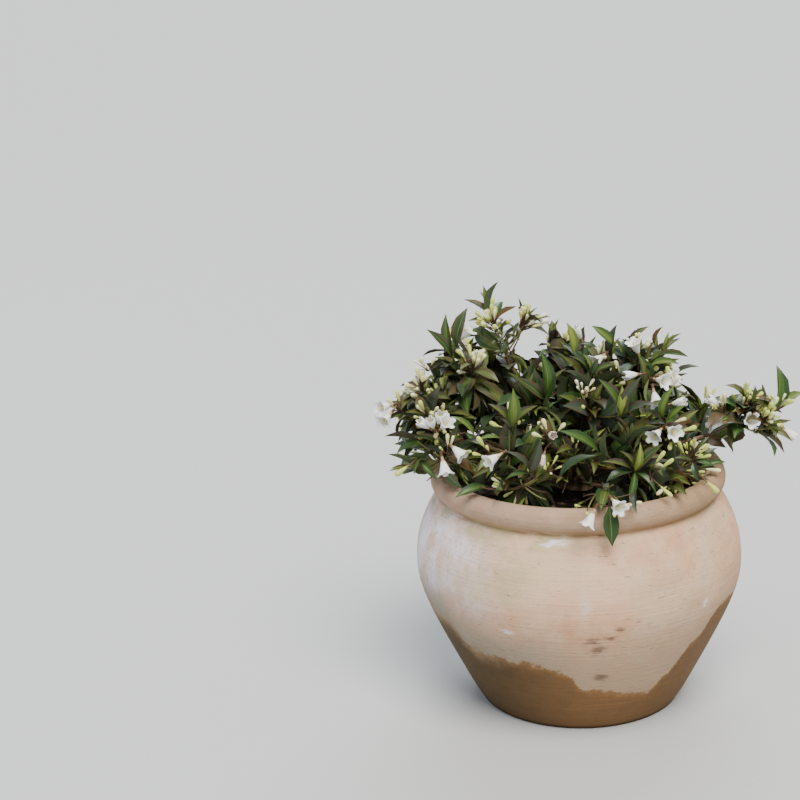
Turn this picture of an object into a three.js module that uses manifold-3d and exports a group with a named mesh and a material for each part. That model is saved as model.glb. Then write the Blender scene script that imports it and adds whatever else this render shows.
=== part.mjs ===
// A potted weigela: a low, wide shrub with bronze-green leaves and white funnel flowers, in a bellied
// terracotta pot with a rolled rim. Millimetres, +Z up. The origin is the middle of the pot's flat
// underside, on the pot's axis. The front of the plant faces -Y.
import * as THREE from "three";
import { mergeVertices } from "three/addons/utils/BufferGeometryUtils.js";
import Module from "manifold-3d";

const wasm = await Module();
wasm.setup();

// Pot: radii, and the heights that they are at. The handles shape the two curves of its outline.
const POT = { height: 314, foot: 131.4, belly: 210, bellyAt: 195, neck: 178.8, neckAt: 281 };
const SHELL = { wall: 13, floor: 16 };
const HANDLES = { footOut: 80.6, footUp: 155, bellyBelow: 29, bellyAbove: 29, neckOut: 20.5, neckDown: 28 };
const FOOT = { edge: 3, insideStep: 5 };
const RIM = { middle: 175.5, halfWidth: 13.8, halfHeight: 15.5, from: -58, to: 160, steps: 7 };
const DRAIN = { radius: 8, fromAxis: 60, count: 3, sides: 12 };
const POT_SIDES = 36;
const WALL_STEPS = 5;

// Clearance between neighbours, the same for foliage, and the shortest edge that a join keeps
const GAP = 0.3;
const CLEAR = 0.5;
const SHORTEST_EDGE = 0.04;

// Potting soil and the short woody stem that stands on it
const SOIL = { middle: 284, flat: 40 };
const BASE = { flare: 31, flareHeight: 5, shoulder: 23, shoulderAt: 11, height: 36, domeSteps: 4 };
const LOBES = { count: 5, depth: 0.12, sides: 15 };

// Canes and twigs
const CANE = { foot: 4.2, tip: 2.4, sides: 5, segments: 3, apart: 26, rise: 0.42, lowest: 0.1, rounds: 80 };
const STEM = { foot: 2.6, tip: 2.2, sides: 4, segments: 2, share: 0.4, onward: 0.4, bare: 0.35 };
const TWIG = { foot: 1.3, tip: 1.1, sides: 3, segments: 2, sag: -0.16, shortest: 0.8 };

// Leaves, flowers and buds. Leaf pairs are counted from the young end of a shoot, which has the smallest
// leaves, held closest to it.
const LEAF = { length: 70, width: 0.46, thickness: 1.5, widest: 0.42, arch: 0.07, sunk: 0.6, sides: 3 };
const AGE = { youngest: 0.6, perPair: 0.2, least: 0.88, spread: 0.2, hang: 0.3, hangPerPair: 0.35 };
const PAIR = { first: 3, step: 11, growth: 2, angle: 30, opening: 20, widest: 84 };
const FLOWER = { count: 2, length: 30, tube: 1.5, tubeEnd: 3, throat: 6, mouth: 13.5, lean: 62, nod: 0.25 };
const LOBES_PER_FLOWER = 5;
const BUD = { count: 4, length: 19, width: 7, step: 3.2, sides: 4, lean: 22, opening: 12, shrink: 0.08 };
const HANGING_LEAF = { share: 0.9, along: 0.45 };
const PAIRS_PER_SHOOT = 4;
const SHOOTS_PER_MASS = 6;
const LEAVES_PER_MASS = 16;

// A leaf that doesn't fit at its full size is tried at each of these shares of it, then left out.
const SHARES = [1, 0.8, 0.62];
const GOLDEN_ANGLE = Math.PI * (3 - Math.sqrt(5));
const GOLDEN_SHARE = 0.618034;
const SEED = 7321;

// Each mass of foliage: where its stem meets the cane's tip, the heart of the space that it keeps to, how far
// its tips reach from the hub, how far its shoots fan out in degrees, and how much its leaves hang. Its leads
// are the shoots that end at a known place: x, y, z and what the tip carries.
const MASSES = [
  { name: "top_left", hub: [-82, 10, 440], heart: [-92, 18, 496], reach: 92, fan: 52, hang: 0.1,
    leads: [[-110, 25, 512, "leaves"], [-105, 8, 500, "buds"], [-62, 15, 500, "buds"]] },
  { name: "left_upper", hub: [-118, -6, 398], heart: [-152, -8, 448], reach: 104, fan: 48, hang: 0.15,
    leads: [[-158, -12, 459, "leaves"], [-129, -20, 452, "buds"], [-160, 15, 462, "flowers"]] },
  { name: "left", hub: [-150, -28, 362], heart: [-205, -34, 398], reach: 100, fan: 52, hang: 0.2,
    leads: [[-196, -24, 424, "buds"], [-222, -25, 392, "flowers"], [-186, -62, 395, "flowers"]] },
  { name: "left_low", hub: [-138, -66, 334], heart: [-190, -86, 350], reach: 98, fan: 52, hang: 0.35,
    leads: [[-206, -66, 372, "leaves"], [-158, -105, 362, "flowers"], [-206, -84, 336, "buds"]] },
  { name: "front_left", hub: [-66, -76, 344], heart: [-92, -118, 376], reach: 96, fan: 52, hang: 0.25,
    leads: [[-82, -106, 393, "leaves"], [-104, -136, 368, "flowers"]] },
  { name: "front_low", hub: [-52, -102, 324], heart: [-74, -154, 332], reach: 92, fan: 50, hang: 0.4,
    leads: [[-48, -148, 343, "leaves"], [-118, -150, 334, "leaves"]] },
  { name: "centre", hub: [8, -32, 368], heart: [12, -52, 418], reach: 100, fan: 58, hang: 0.15,
    leads: [[-43, -45, 418, "leaves"], [23, -38, 434, "leaves"], [52, -84, 402, "leaves"]] },
  { name: "front_right", hub: [52, -78, 332], heart: [70, -124, 352], reach: 94, fan: 56, hang: 0.25,
    leads: [[74, -125, 354, "leaves"], [88, -138, 336, "buds"]] },
  { name: "front_middle", hub: [-6, -74, 336], heart: [-4, -122, 366], reach: 92, fan: 58, hang: 0.25,
    leads: [[-1, -126, 369, "leaves"], [-14, -146, 340, "leaves"], [-33, -118, 384, "flowers"]] },
  { name: "over_rim", hub: [28, -112, 320], heart: [34, -182, 318], reach: 88, fan: 34, hang: 0.8, lift: 0.22,
    leads: [[52, -184, 322, "flowers"], [12, -190, 318, "flowers"], [38, -190, 322, "leaf"]] },
  { name: "right_upper", hub: [84, -44, 358], heart: [110, -60, 396], reach: 98, fan: 52, hang: 0.2,
    leads: [[106, -68, 392, "leaves"], [116, -38, 420, "flowers"], [118, -84, 376, "flowers"]] },
  { name: "top_centre", hub: [14, 16, 398], heart: [22, 14, 452], reach: 96, fan: 56, hang: 0.1,
    leads: [[-6, 10, 454, "leaves"], [46, 20, 450, "leaves"], [30, 0, 450, "flowers"]] },
  { name: "top_right", hub: [66, 18, 392], heart: [92, 20, 450], reach: 102, fan: 54, hang: 0.1,
    leads: [[112, 22, 455, "leaves"], [78, 15, 458, "flowers"], [83, 34, 440, "leaves"]] },
  { name: "right_low", hub: [102, -62, 324], heart: [138, -92, 326], reach: 92, fan: 52, hang: 0.35,
    leads: [[140, -68, 342, "buds"], [160, -96, 322, "buds"], [112, -116, 322, "leaves"]] },
  { name: "right_shoot", hub: [160, -16, 352], heart: [222, -18, 382], reach: 132, fan: 24, hang: 0.15,
    leads: [
      [262, -15, 392, "leaves"], [214, -18, 400, "buds"], [186, -30, 386, "flowers"], [236, -34, 380, "buds"],
    ] },
  { name: "left_back", hub: [-158, 34, 348], heart: [-208, 46, 372], reach: 96, fan: 54, hang: 0.25,
    leads: [[-216, 40, 372, "leaves"]] },
  { name: "back_left", hub: [-98, 66, 382], heart: [-132, 92, 424], reach: 98, fan: 56, hang: 0.15,
    leads: [[-140, 96, 428, "buds"]] },
  { name: "back_top", hub: [-26, 66, 390], heart: [-34, 92, 436], reach: 98, fan: 58, hang: 0.1,
    leads: [[-30, 84, 452, "leaves"]] },
  { name: "back_right", hub: [60, 80, 374], heart: [88, 108, 416], reach: 100, fan: 58, hang: 0.15,
    leads: [[92, 110, 420, "flowers"]] },
  { name: "right_back", hub: [130, 48, 334], heart: [172, 62, 350], reach: 96, fan: 56, hang: 0.25,
    leads: [[180, 64, 352, "leaves"]] },
  { name: "back_low_left", hub: [-98, 108, 330], heart: [-134, 146, 350], reach: 96, fan: 56, hang: 0.3,
    leads: [[-136, 148, 352, "flowers"]] },
  { name: "back_low", hub: [-8, 124, 338], heart: [-8, 172, 362], reach: 96, fan: 58, hang: 0.3,
    leads: [[-8, 176, 364, "buds"]] },
  { name: "back_low_right", hub: [86, 118, 328], heart: [118, 154, 346], reach: 96, fan: 56, hang: 0.3,
    leads: [[122, 156, 348, "leaves"]] },
  { name: "centre_left", hub: [-46, -12, 372], heart: [-64, -22, 422], reach: 92, fan: 54, hang: 0.15,
    leads: [[-70, -20, 420, "leaves"], [-56, 4, 425, "leaves"]] },
];

const UP = new THREE.Vector3(0, 0, 1);
const vector = (list) => new THREE.Vector3(...list);
const radians = THREE.MathUtils.degToRad;

// A number from 0 to 1 that is always the same for the same whole-number keys.
function chance(...keys) {
  let h = SEED;
  for (const key of keys) {
    h = Math.imul(h ^ (key + 0x9e3779b9), 0x85ebca6b);
    h ^= h >>> 13;
  }
  h = Math.imul(h ^ (h >>> 16), 0xc2b2ae35);
  return ((h ^ (h >>> 16)) >>> 0) / 4294967296;
}

// Solids and meshes
function solidOf(geometry) {
  const plain = geometry.clone();
  plain.deleteAttribute("normal");
  plain.deleteAttribute("uv");
  const merged = mergeVertices(plain, 1e-4);
  return new wasm.Manifold(
    new wasm.Mesh({
      numProp: 3,
      vertProperties: merged.attributes.position.array,
      triVerts: new Uint32Array(merged.index.array),
    }),
  );
}

// The largest body of a join, without the edges too short to matter.
function largestBody(solid) {
  const largest = solid.decompose().reduce((best, body) => (body.volume() > best.volume() ? body : best));
  return largest.simplify(SHORTEST_EDGE);
}

function meshOf(name, solid, material) {
  const data = solid.getMesh();
  const geometry = new THREE.BufferGeometry();
  geometry.setAttribute("position", new THREE.BufferAttribute(data.vertProperties, 3));
  geometry.setIndex(new THREE.BufferAttribute(data.triVerts, 1));
  geometry.computeVertexNormals();
  const mesh = new THREE.Mesh(geometry, material);
  mesh.name = name;
  return mesh;
}

function finish(colour, roughness) {
  return new THREE.MeshStandardMaterial({ color: colour, roughness, metalness: 0 });
}

const FINISH = {
  terracotta: finish(0xd9ac86, 0.85),
  soil: finish(0x2b211a, 0.95),
  bark: finish(0x6b5440, 0.9),
  leaves: finish(0x3f4a2a, 0.5),
};

// A lathe about +Z from points of radius and height.
function turned(points, sides) {
  const profile = points.map(([radius, height]) => new THREE.Vector2(radius, height));
  return new THREE.LatheGeometry(profile, sides).rotateX(Math.PI / 2);
}

// Pot outline: a curve from the foot to the belly and one from the belly to the neck.
function potWall(swell = 0) {
  const lower = new THREE.CubicBezierCurve(
    new THREE.Vector2(POT.foot, 0),
    new THREE.Vector2(POT.foot + HANDLES.footOut, HANDLES.footUp),
    new THREE.Vector2(POT.belly, POT.bellyAt - HANDLES.bellyBelow),
    new THREE.Vector2(POT.belly, POT.bellyAt),
  );
  const upper = new THREE.CubicBezierCurve(
    new THREE.Vector2(POT.belly, POT.bellyAt),
    new THREE.Vector2(POT.belly, POT.bellyAt + HANDLES.bellyAbove),
    new THREE.Vector2(POT.neck + HANDLES.neckOut, POT.neckAt - HANDLES.neckDown),
    new THREE.Vector2(POT.neck, POT.neckAt),
  );
  const points = [...lower.getPoints(WALL_STEPS), ...upper.getPoints(WALL_STEPS).slice(1)];
  return points.map((p) => [p.x + swell, p.y]);
}

// The rolled rim, from under its lip over the top to its inner edge.
function rimRoll(swell = 0) {
  return Array.from({ length: RIM.steps + 1 }, (_, i) => {
    const angle = radians(RIM.from + ((RIM.to - RIM.from) * i) / RIM.steps);
    return [
      RIM.middle + (RIM.halfWidth + swell) * Math.cos(angle),
      POT.height - RIM.halfHeight + (RIM.halfHeight + swell) * Math.sin(angle),
    ];
  });
}

// The inner wall from the floor up to the neck, a wall's thickness inside every second outer point.
function innerWall(inset = 0) {
  const inside = potWall(-SHELL.wall - inset).filter((_, i) => i % 2 === 0 && i > 0);
  return [[POT.foot - SHELL.wall + FOOT.insideStep - inset, SHELL.floor + inset], ...inside];
}

function potSolid() {
  const underside = [[0, 0], [POT.foot - FOOT.edge, 0], [POT.foot, FOOT.edge]];
  const outside = [...potWall().slice(1), ...rimRoll()];
  const inside = [...innerWall().reverse(), [0, SHELL.floor]];
  let pot = solidOf(turned([...underside, ...outside, ...inside], POT_SIDES));
  for (let i = 0; i < DRAIN.count; i++) {
    const angle = Math.PI / 2 + (i * 2 * Math.PI) / DRAIN.count;
    const hole = new THREE.CylinderGeometry(DRAIN.radius, DRAIN.radius, SHELL.floor * 3, DRAIN.sides);
    hole.rotateX(Math.PI / 2).translate(DRAIN.fromAxis, 0, 0).rotateZ(angle);
    pot = pot.subtract(solidOf(hole));
  }
  return pot;
}

// What foliage keeps clear of: the pot's upper part, filled up to the soil and a little swollen.
function potAndSoilKeepOut() {
  const wall = potWall(CLEAR).filter(([, height]) => height > POT.bellyAt);
  const inner = RIM.middle - RIM.halfWidth - CLEAR;
  const top = [[inner, POT.neckAt + CLEAR], [SOIL.flat, SOIL.middle + CLEAR], [0, SOIL.middle + CLEAR]];
  return solidOf(turned([[0, POT.bellyAt], ...wall, ...rimRoll(CLEAR), ...top], POT_SIDES));
}

function soilSolid() {
  const top = [[SOIL.flat, SOIL.middle], [0, SOIL.middle]];
  return solidOf(turned([[0, SHELL.floor + GAP], ...innerWall(GAP), ...top], POT_SIDES));
}

// The short stem: a flat cut on the soil, a lobed root flare and a rounded top that the canes leave from.
function baseSolid(swell = 0) {
  const dome = Array.from({ length: BASE.domeSteps }, (_, i) => {
    const angle = (i * Math.PI) / 2 / BASE.domeSteps;
    const height = BASE.shoulderAt + (BASE.height - BASE.shoulderAt) * Math.sin(angle);
    return [BASE.shoulder * Math.cos(angle) + swell, height + swell];
  });
  const flare = [[BASE.flare + swell, -swell], [(BASE.flare + BASE.shoulder) / 2 + swell, BASE.flareHeight]];
  const geometry = turned([[0, -swell], ...flare, ...dome, [0, BASE.height + swell]], LOBES.sides);
  const place = geometry.attributes.position;
  for (let i = 0; i < place.count; i++) {
    const angle = Math.atan2(place.getY(i), place.getX(i));
    const fade = 1 - Math.min(1, Math.max(0, place.getZ(i)) / BASE.height);
    const share = 1 - (LOBES.depth * fade * (1 - Math.cos(LOBES.count * angle))) / 2;
    place.setXY(i, place.getX(i) * share, place.getY(i) * share);
  }
  geometry.translate(0, 0, SOIL.middle + GAP);
  return solidOf(geometry);
}

// A tapering limb along a curve, its section turned by an angle about it.
function limb(curve, footRadius, tipRadius, sides, segments, turn = 0) {
  const geometry = new THREE.CylinderGeometry(tipRadius, footRadius, 1, sides, segments).rotateY(-turn);
  const place = geometry.attributes.position;
  for (let i = 0; i < place.count; i++) {
    const along = Math.min(1, Math.max(0, place.getY(i) + 0.5));
    const { side, over } = frameAt(curve, along);
    const at = curve.getPoint(along);
    at.addScaledVector(side, place.getX(i)).addScaledVector(over, place.getZ(i));
    place.setXYZ(i, at.x, at.y, at.z);
  }
  return geometry;
}

function frameAt(curve, along) {
  const tangent = curve.getTangent(along);
  const chord = curve.getPoint(1).sub(curve.getPoint(0));
  const level = Math.abs(chord.z) > 0.9 * chord.length() ? new THREE.Vector3(1, 0, 0) : UP;
  const side = new THREE.Vector3().crossVectors(tangent, level).normalize();
  const over = new THREE.Vector3().crossVectors(side, tangent);
  return { tangent, side, over };
}

function bend(from, through, to) {
  return new THREE.QuadraticBezierCurve3(from, through, to);
}

// Canes leave the stem evenly spread: directions closer than the least angle are pushed apart.
function caneDirections(centre) {
  const directions = MASSES.map((mass) => vector(mass.hub).sub(centre).normalize());
  const least = radians(CANE.apart);
  for (let round = 0; round < CANE.rounds; round++) {
    for (const a of directions) {
      for (const b of directions) {
        const angle = a.angleTo(b);
        if (a === b || angle >= least) continue;
        const push = a.clone().sub(b).setLength((least - angle) / 2);
        a.add(push).normalize();
        b.sub(push).normalize();
      }
      a.z = Math.max(a.z, CANE.lowest);
      a.normalize();
    }
  }
  return directions;
}

function caneCurve(mass, direction, centre) {
  const hub = vector(mass.hub);
  const foot = centre.clone().addScaledVector(direction, BASE.flare * 0.5);
  const through = foot.clone().addScaledVector(direction, hub.distanceTo(foot) * CANE.rise);
  return bend(foot, through, hub);
}

// Leaf: pointed at both ends, keeled along its middle and arched along its length.
function leafGeometry(root, direction, facing, length) {
  const outline = [[0, 0], [1, LEAF.widest], [0, 1]];
  const blade = new THREE.LatheGeometry(outline.map((p) => new THREE.Vector2(...p)), LEAF.sides);
  const side = new THREE.Vector3().crossVectors(direction, facing).normalize();
  const normal = new THREE.Vector3().crossVectors(side, direction);
  const place = blade.attributes.position;
  for (let i = 0; i < place.count; i++) {
    const along = place.getY(i);
    const raised = (place.getZ(i) * LEAF.thickness) / 1.5 + 4 * along * (1 - along) * LEAF.arch * length;
    const across = (place.getX(i) * LEAF.width * length) / Math.sqrt(3);
    const at = root.clone().addScaledVector(direction, along * length - LEAF.sunk);
    at.addScaledVector(side, across).addScaledVector(normal, raised);
    place.setXYZ(i, at.x, at.y, at.z);
  }
  return blade;
}

// A round shape along a direction, from points of radius and distance.
function spun(points, sides, root, direction) {
  const geometry = new THREE.LatheGeometry(points.map((p) => new THREE.Vector2(...p)), sides);
  geometry.applyQuaternion(new THREE.Quaternion().setFromUnitVectors(new THREE.Vector3(0, 1, 0), direction));
  return geometry.translate(root.x, root.y, root.z);
}

// Flower: a slim tube that widens to a throat at two thirds of its length and then to a shallow open mouth.
function flowerGeometry(root, direction, size) {
  const length = FLOWER.length * size;
  const bell = [[FLOWER.throat * size, length * 0.66], [FLOWER.mouth * size, length], [0, length * 0.7]];
  return spun([[0, -LEAF.sunk], [FLOWER.tube, FLOWER.tubeEnd], ...bell], LOBES_PER_FLOWER, root, direction);
}

// Bud: a club, thickest at two thirds of its length.
function budGeometry(root, direction, size) {
  const club = [[(BUD.width / 2) * size, BUD.length * 0.68 * size], [0, BUD.length * size]];
  return spun([[0, -LEAF.sunk], ...club], BUD.sides, root, direction);
}

// Directions round a shoot: turned by an angle about it and leaning out from it.
function outward(frame, turn, lean) {
  return frame.side
    .clone()
    .multiplyScalar(Math.cos(turn) * Math.sin(lean))
    .addScaledVector(frame.over, Math.sin(turn) * Math.sin(lean))
    .addScaledVector(frame.tangent, Math.cos(lean));
}

// The shoots of a mass: its leads first, then shoots spread over its fan.
function shootsOf(mass, index, stem) {
  const hub = vector(mass.hub);
  const fan = frameAt(new THREE.LineCurve3(hub, vector(mass.heart)), 0);
  return Array.from({ length: SHOOTS_PER_MASS }, (_, i) => {
    const lead = mass.leads[i];
    const start = stem.getPoint(STEM.bare + (1 - STEM.bare) * chance(index, i, 1));
    const lean = radians(mass.fan) * Math.sqrt((0.5 + i * GOLDEN_SHARE) % 1);
    const far = mass.reach * (TWIG.shortest + (1 - TWIG.shortest) * chance(index, i, 2)) - LEAF.length / 2;
    const free = hub.clone().addScaledVector(outward(fan, i * GOLDEN_ANGLE + index, lean), far);
    const tip = lead ? vector(lead) : free;
    const span = tip.distanceTo(start);
    const through = start.clone().lerp(tip, 0.5).addScaledVector(UP, (mass.lift ?? TWIG.sag) * span);
    const turn = chance(index, i, 3) * Math.PI;
    return { key: i, curve: bend(start, through, tip), span, turn, carries: lead ? lead[3] : "leaves" };
  });
}

// The leaf pairs of a shoot, each pair a quarter turn from the next.
function leavesOf(mass, index, shoot) {
  const leaves = [];
  const skipYoung = shoot.carries === "leaves" ? 0 : 1;
  for (let pair = skipYoung; pair < PAIRS_PER_SHOOT + skipYoung; pair++) {
    const back = PAIR.first + PAIR.step * pair + PAIR.growth * pair * pair;
    if (back > shoot.span) break;
    const frame = frameAt(shoot.curve, 1 - back / shoot.span);
    const node = shoot.curve.getPoint(1 - back / shoot.span);
    const lean = radians(Math.min(PAIR.widest, PAIR.angle + PAIR.opening * pair));
    for (let half = 0; half < 2; half++) {
      const turn = shoot.turn + (0.25 + pair * 0.5 + half) * Math.PI;
      const direction = outward(frame, turn, lean);
      direction.z -= mass.hang * (AGE.hang + AGE.hangPerPair * pair);
      direction.normalize();
      const vigour = AGE.least + AGE.spread * chance(index, shoot.key, pair, half, 4);
      const length = LEAF.length * vigour * Math.min(1, AGE.youngest + AGE.perPair * pair);
      const facing = frame.tangent.clone().add(UP);
      leaves.push((share) => leafGeometry(node, direction, facing, length * share));
    }
  }
  return leaves;
}

// What stands at the tip of a shoot beside its leaves: one leaf that hangs, a few flowers, or a head of buds.
// Like the leaves, each is a function of the share of its full size that it gets.
function blossomOf(shoot) {
  const count = { leaf: 1, flowers: FLOWER.count, buds: BUD.count }[shoot.carries] ?? 0;
  return Array.from({ length: count }, (_, i) => {
    const along = 1 - (1 + BUD.step * i) / shoot.span;
    const frame = frameAt(shoot.curve, along);
    const node = shoot.curve.getPoint(along);
    const turn = shoot.turn + (0.25 + 0.5 * i) * Math.PI;
    if (shoot.carries === "leaf") {
      const direction = frame.tangent.clone().multiplyScalar(HANGING_LEAF.along).sub(UP).normalize();
      const length = LEAF.length * HANGING_LEAF.share;
      return (share) => leafGeometry(node, direction, frame.tangent, length * share);
    }
    if (shoot.carries === "buds") {
      const direction = outward(frame, turn, radians(BUD.lean + BUD.opening * i));
      return (share) => budGeometry(node, direction, share - BUD.shrink * i);
    }
    const direction = outward(frame, turn + (i * Math.PI) / 2, radians(FLOWER.lean));
    direction.z -= FLOWER.nod;
    direction.normalize();
    return (share) => flowerGeometry(node, direction, share);
  });
}

// The spine of a mass runs from its hub to its heart. Its space is all that lies nearer to its own spine than
// to any other mass's.
const SPINES = MASSES.map((mass) => new THREE.Line3(vector(mass.hub), vector(mass.heart)));

function fromSpine(spine, point) {
  return spine.closestPointToPoint(point, true, new THREE.Vector3()).distanceTo(point);
}

function staysHome(geometry, index) {
  const place = geometry.attributes.position;
  const corners = Array.from(geometry.index.array, (i) => new THREE.Vector3().fromBufferAttribute(place, i));
  const middles = corners.map((corner, i) => corner.clone().lerp(corners[i % 3 === 2 ? i - 2 : i + 1], 0.5));
  return [...corners, ...middles].every((point) => {
    const own = fromSpine(SPINES[index], point) + 2 * CLEAR;
    return SPINES.every((spine, other) => other === index || fromSpine(spine, point) > own);
  });
}

function massSolid(mass, index, cane, keepOut) {
  const hub = vector(mass.hub);
  const onward = cane.getTangent(1);
  const foot = hub.clone().addScaledVector(onward, GAP);
  const out = vector(mass.heart).sub(hub);
  const length = mass.reach * STEM.share;
  const end = hub.clone().addScaledVector(out.normalize(), length);
  const stem = bend(foot, foot.clone().addScaledVector(onward, length * STEM.onward), end);
  const wood = [solidOf(limb(stem, STEM.foot, STEM.tip, STEM.sides, STEM.segments))];
  const fits = (geometry) => {
    if (!staysHome(geometry, index)) return null;
    const piece = solidOf(geometry);
    return piece.intersect(keepOut).isEmpty() ? piece : null;
  };
  const shoots = [];
  for (const shoot of shootsOf(mass, index, stem)) {
    shoot.twig = fits(limb(shoot.curve, TWIG.foot, TWIG.tip, TWIG.sides, TWIG.segments, shoot.turn));
    if (!shoot.twig) continue;
    wood.push(shoot.twig);
    shoots.push(shoot);
  }
  // Leaves and blossom cross no twig but their own, and none of them crosses another shoot's.
  const standing = [];
  for (const shoot of shoots) {
    const others = wasm.Manifold.union([...wood.filter((piece) => piece !== shoot.twig), ...standing]);
    for (const shape of [...blossomOf(shoot), ...leavesOf(mass, index, shoot)]) {
      if (standing.length === LEAVES_PER_MASS) break;
      const sizes = SHARES.map((share) => fits(shape(share)));
      const piece = sizes.find((made) => made && made.intersect(others).isEmpty());
      if (piece) standing.push(piece);
    }
  }
  return largestBody(wasm.Manifold.union([...wood, ...standing]));
}

// Assembly
const weigela = new THREE.Group();
weigela.add(meshOf("pot", potSolid(), FINISH.terracotta));
weigela.add(meshOf("potting_soil", soilSolid(), FINISH.soil));
weigela.add(meshOf("woody_base", baseSolid(), FINISH.bark));

const baseCentre = new THREE.Vector3(0, 0, SOIL.middle + BASE.shoulderAt);
const swollenBase = baseSolid(GAP);
const directions = caneDirections(baseCentre);
const canes = MASSES.map((mass, i) => caneCurve(mass, directions[i], baseCentre));
canes.forEach((curve, i) => {
  const whole = solidOf(limb(curve, CANE.foot, CANE.tip, CANE.sides, CANE.segments));
  weigela.add(meshOf("cane_" + MASSES[i].name, largestBody(whole.subtract(swollenBase)), FINISH.bark));
});

const swollenCanes = canes.map((curve) =>
  solidOf(limb(curve, CANE.foot + CLEAR, CANE.tip + CLEAR, CANE.sides, CANE.segments)),
);
const keepOut = wasm.Manifold.union([potAndSoilKeepOut(), baseSolid(CLEAR), ...swollenCanes]);
MASSES.forEach((mass, i) => {
  weigela.add(meshOf("foliage_" + mass.name, massSolid(mass, i, canes[i], keepOut), FINISH.leaves));
});

export default weigela;
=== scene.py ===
"""A potted weigela: a low, wide shrub with bronze-green leaves, cream buds and white funnel flowers, in a
bellied terracotta pot with a rolled rim. Metres, +Z up. The front of the plant faces -Y."""

import math
from dataclasses import dataclass

import bmesh
import bpy
import numpy as np
from mathutils import Matrix, Vector, noise
from mathutils.geometry import interpolate_bezier, intersect_point_line


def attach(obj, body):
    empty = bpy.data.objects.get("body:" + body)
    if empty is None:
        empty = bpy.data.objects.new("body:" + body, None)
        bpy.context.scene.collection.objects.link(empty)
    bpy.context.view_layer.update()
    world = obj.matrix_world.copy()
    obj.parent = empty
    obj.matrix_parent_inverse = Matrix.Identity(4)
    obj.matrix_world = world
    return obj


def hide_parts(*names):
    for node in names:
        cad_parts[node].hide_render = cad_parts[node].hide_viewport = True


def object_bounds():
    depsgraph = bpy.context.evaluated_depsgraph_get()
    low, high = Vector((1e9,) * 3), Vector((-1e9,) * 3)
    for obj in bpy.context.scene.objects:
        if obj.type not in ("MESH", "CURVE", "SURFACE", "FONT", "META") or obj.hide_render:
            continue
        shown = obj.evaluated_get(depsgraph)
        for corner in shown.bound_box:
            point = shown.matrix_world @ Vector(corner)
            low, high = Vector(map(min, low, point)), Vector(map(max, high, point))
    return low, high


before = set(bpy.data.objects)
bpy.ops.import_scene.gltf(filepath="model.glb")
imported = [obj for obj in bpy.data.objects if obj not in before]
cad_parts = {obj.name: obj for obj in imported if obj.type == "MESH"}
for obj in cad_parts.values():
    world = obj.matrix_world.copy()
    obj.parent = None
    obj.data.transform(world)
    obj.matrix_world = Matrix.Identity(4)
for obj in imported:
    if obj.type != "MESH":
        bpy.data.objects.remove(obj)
cad_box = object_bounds()

UP = Vector((0, 0, 1))
RIGHT = Vector((1, 0, 0))

# Pot outline: radius and height of its foot, belly and neck, and the handles of the curves between them
FOOT = Vector((0.1314, 0))
FOOT_HANDLE = Vector((0.212, 0.155))
BELLY = Vector((0.210, 0.195))
BELLY_HANDLE = Vector((0, 0.029))
NECK = Vector((0.1788, 0.281))
NECK_HANDLE = Vector((0.1993, 0.253))
FOOT_EDGE = 0.003
FOOT_BEVEL = 0.001
WALL = 0.013
FLOOR = 0.016
INSIDE_FROM = 0.028
INSIDE_FOOT = 0.005
SOIL_FOOT = 0.0045
RIM_MIDDLE = Vector((0.1755, 0.2985))
RIM_HALF = Vector((0.0138, 0.0155))
RIM_FROM = math.radians(-58)
RIM_TO = math.radians(160)
DRAIN_RADIUS = 0.008
DRAIN_FROM_AXIS = 0.06
POT_SIDES = 144
SOIL_SIDES = 96
WALL_STEPS = 24
RIM_STEPS = 22
SOIL_STEPS = 30

# Potting soil and the short woody base
CLEARANCE = 0.0003
SOIL_TOP = 0.284
SOIL_FLAT = 0.04
SOIL_RELIEF = 0.003
SOIL_LUMPS = 60
CHIP_COUNT = 420
BASE_FLARE = 0.031
BASE_SHOULDER = 0.023
BASE_SHOULDER_AT = 0.011
BASE_HEIGHT = 0.036
BASE_LOBES = 5
LOBE_DEPTH = 0.06
BASE_SIDES = 60

# Canes, stems and twigs: radius at the foot and at the tip
CANE = (0.0042, 0.0024)
STEM = (0.0023, 0.0016)
TWIG = (0.0013, 0.0008)
STALK = (0.0007, 0.0006)
CANE_APART = math.radians(26)
CANE_LOWEST = 0.1
CANE_RISE = 0.42
CANE_ROUNDS = 80
CANE_JOINTS = 0.024
JOINT_HALF = 0.0016
JOINT_SWELL = 0.22
CRACKS = 420
CRACK_RELIEF = 0.10
STEM_SHARE = 0.4
STEM_BARE = 0.35
STEM_PULL = 0.4
SAG = -0.16

# Leaves, buds and flowers
LEAF_LENGTH = 0.056
LEAF_WIDTH = 0.45
LEAF_THICKNESS = 0.0004
BUD_LENGTH = 0.029
FLOWER_LENGTH = 0.031
SOURCE_LEAF = 0.070
MAIN_SHOOTS = 6
MAIN_REACH = (0.8, 1)
FINE_REACH = (0.4, 0.9)
WIDEST_FAN = 58
SHOOTS_PER_MASS = 19
MOST_PAIRS = 6
OLDEST_PAIR = 4
BUDDING = 0.14
LOW_MASS_BELOW = 0.35
CANE_PAIRS = 4
CANE_PAIRS_FROM = 0.98
CANE_PAIR_STEP = 0.13
CANE_LEAF_LEAN = math.radians(70)
LOW_BUDS_BELOW = 0.41
SLIM_BUDS_BELOW = 0.365
SLIM_GIRTH = 0.72
HEAD_BUDS = 15
SLIM_HEAD_BUDS = 10
SIDE_BUDS = 6
FLOWER_BUDS = 4
REPEATED_BUDS = 3
HEAD_LEAN = 10
HEAD_SPREAD = 72
HEAD_STALK = 0.003
FLOWER_LEAN = math.radians(62)

# The first keys of cane leaves and blooms, past those of the shoots
CANE_KEYS = 40
BLOOM_KEYS = 60

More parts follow.
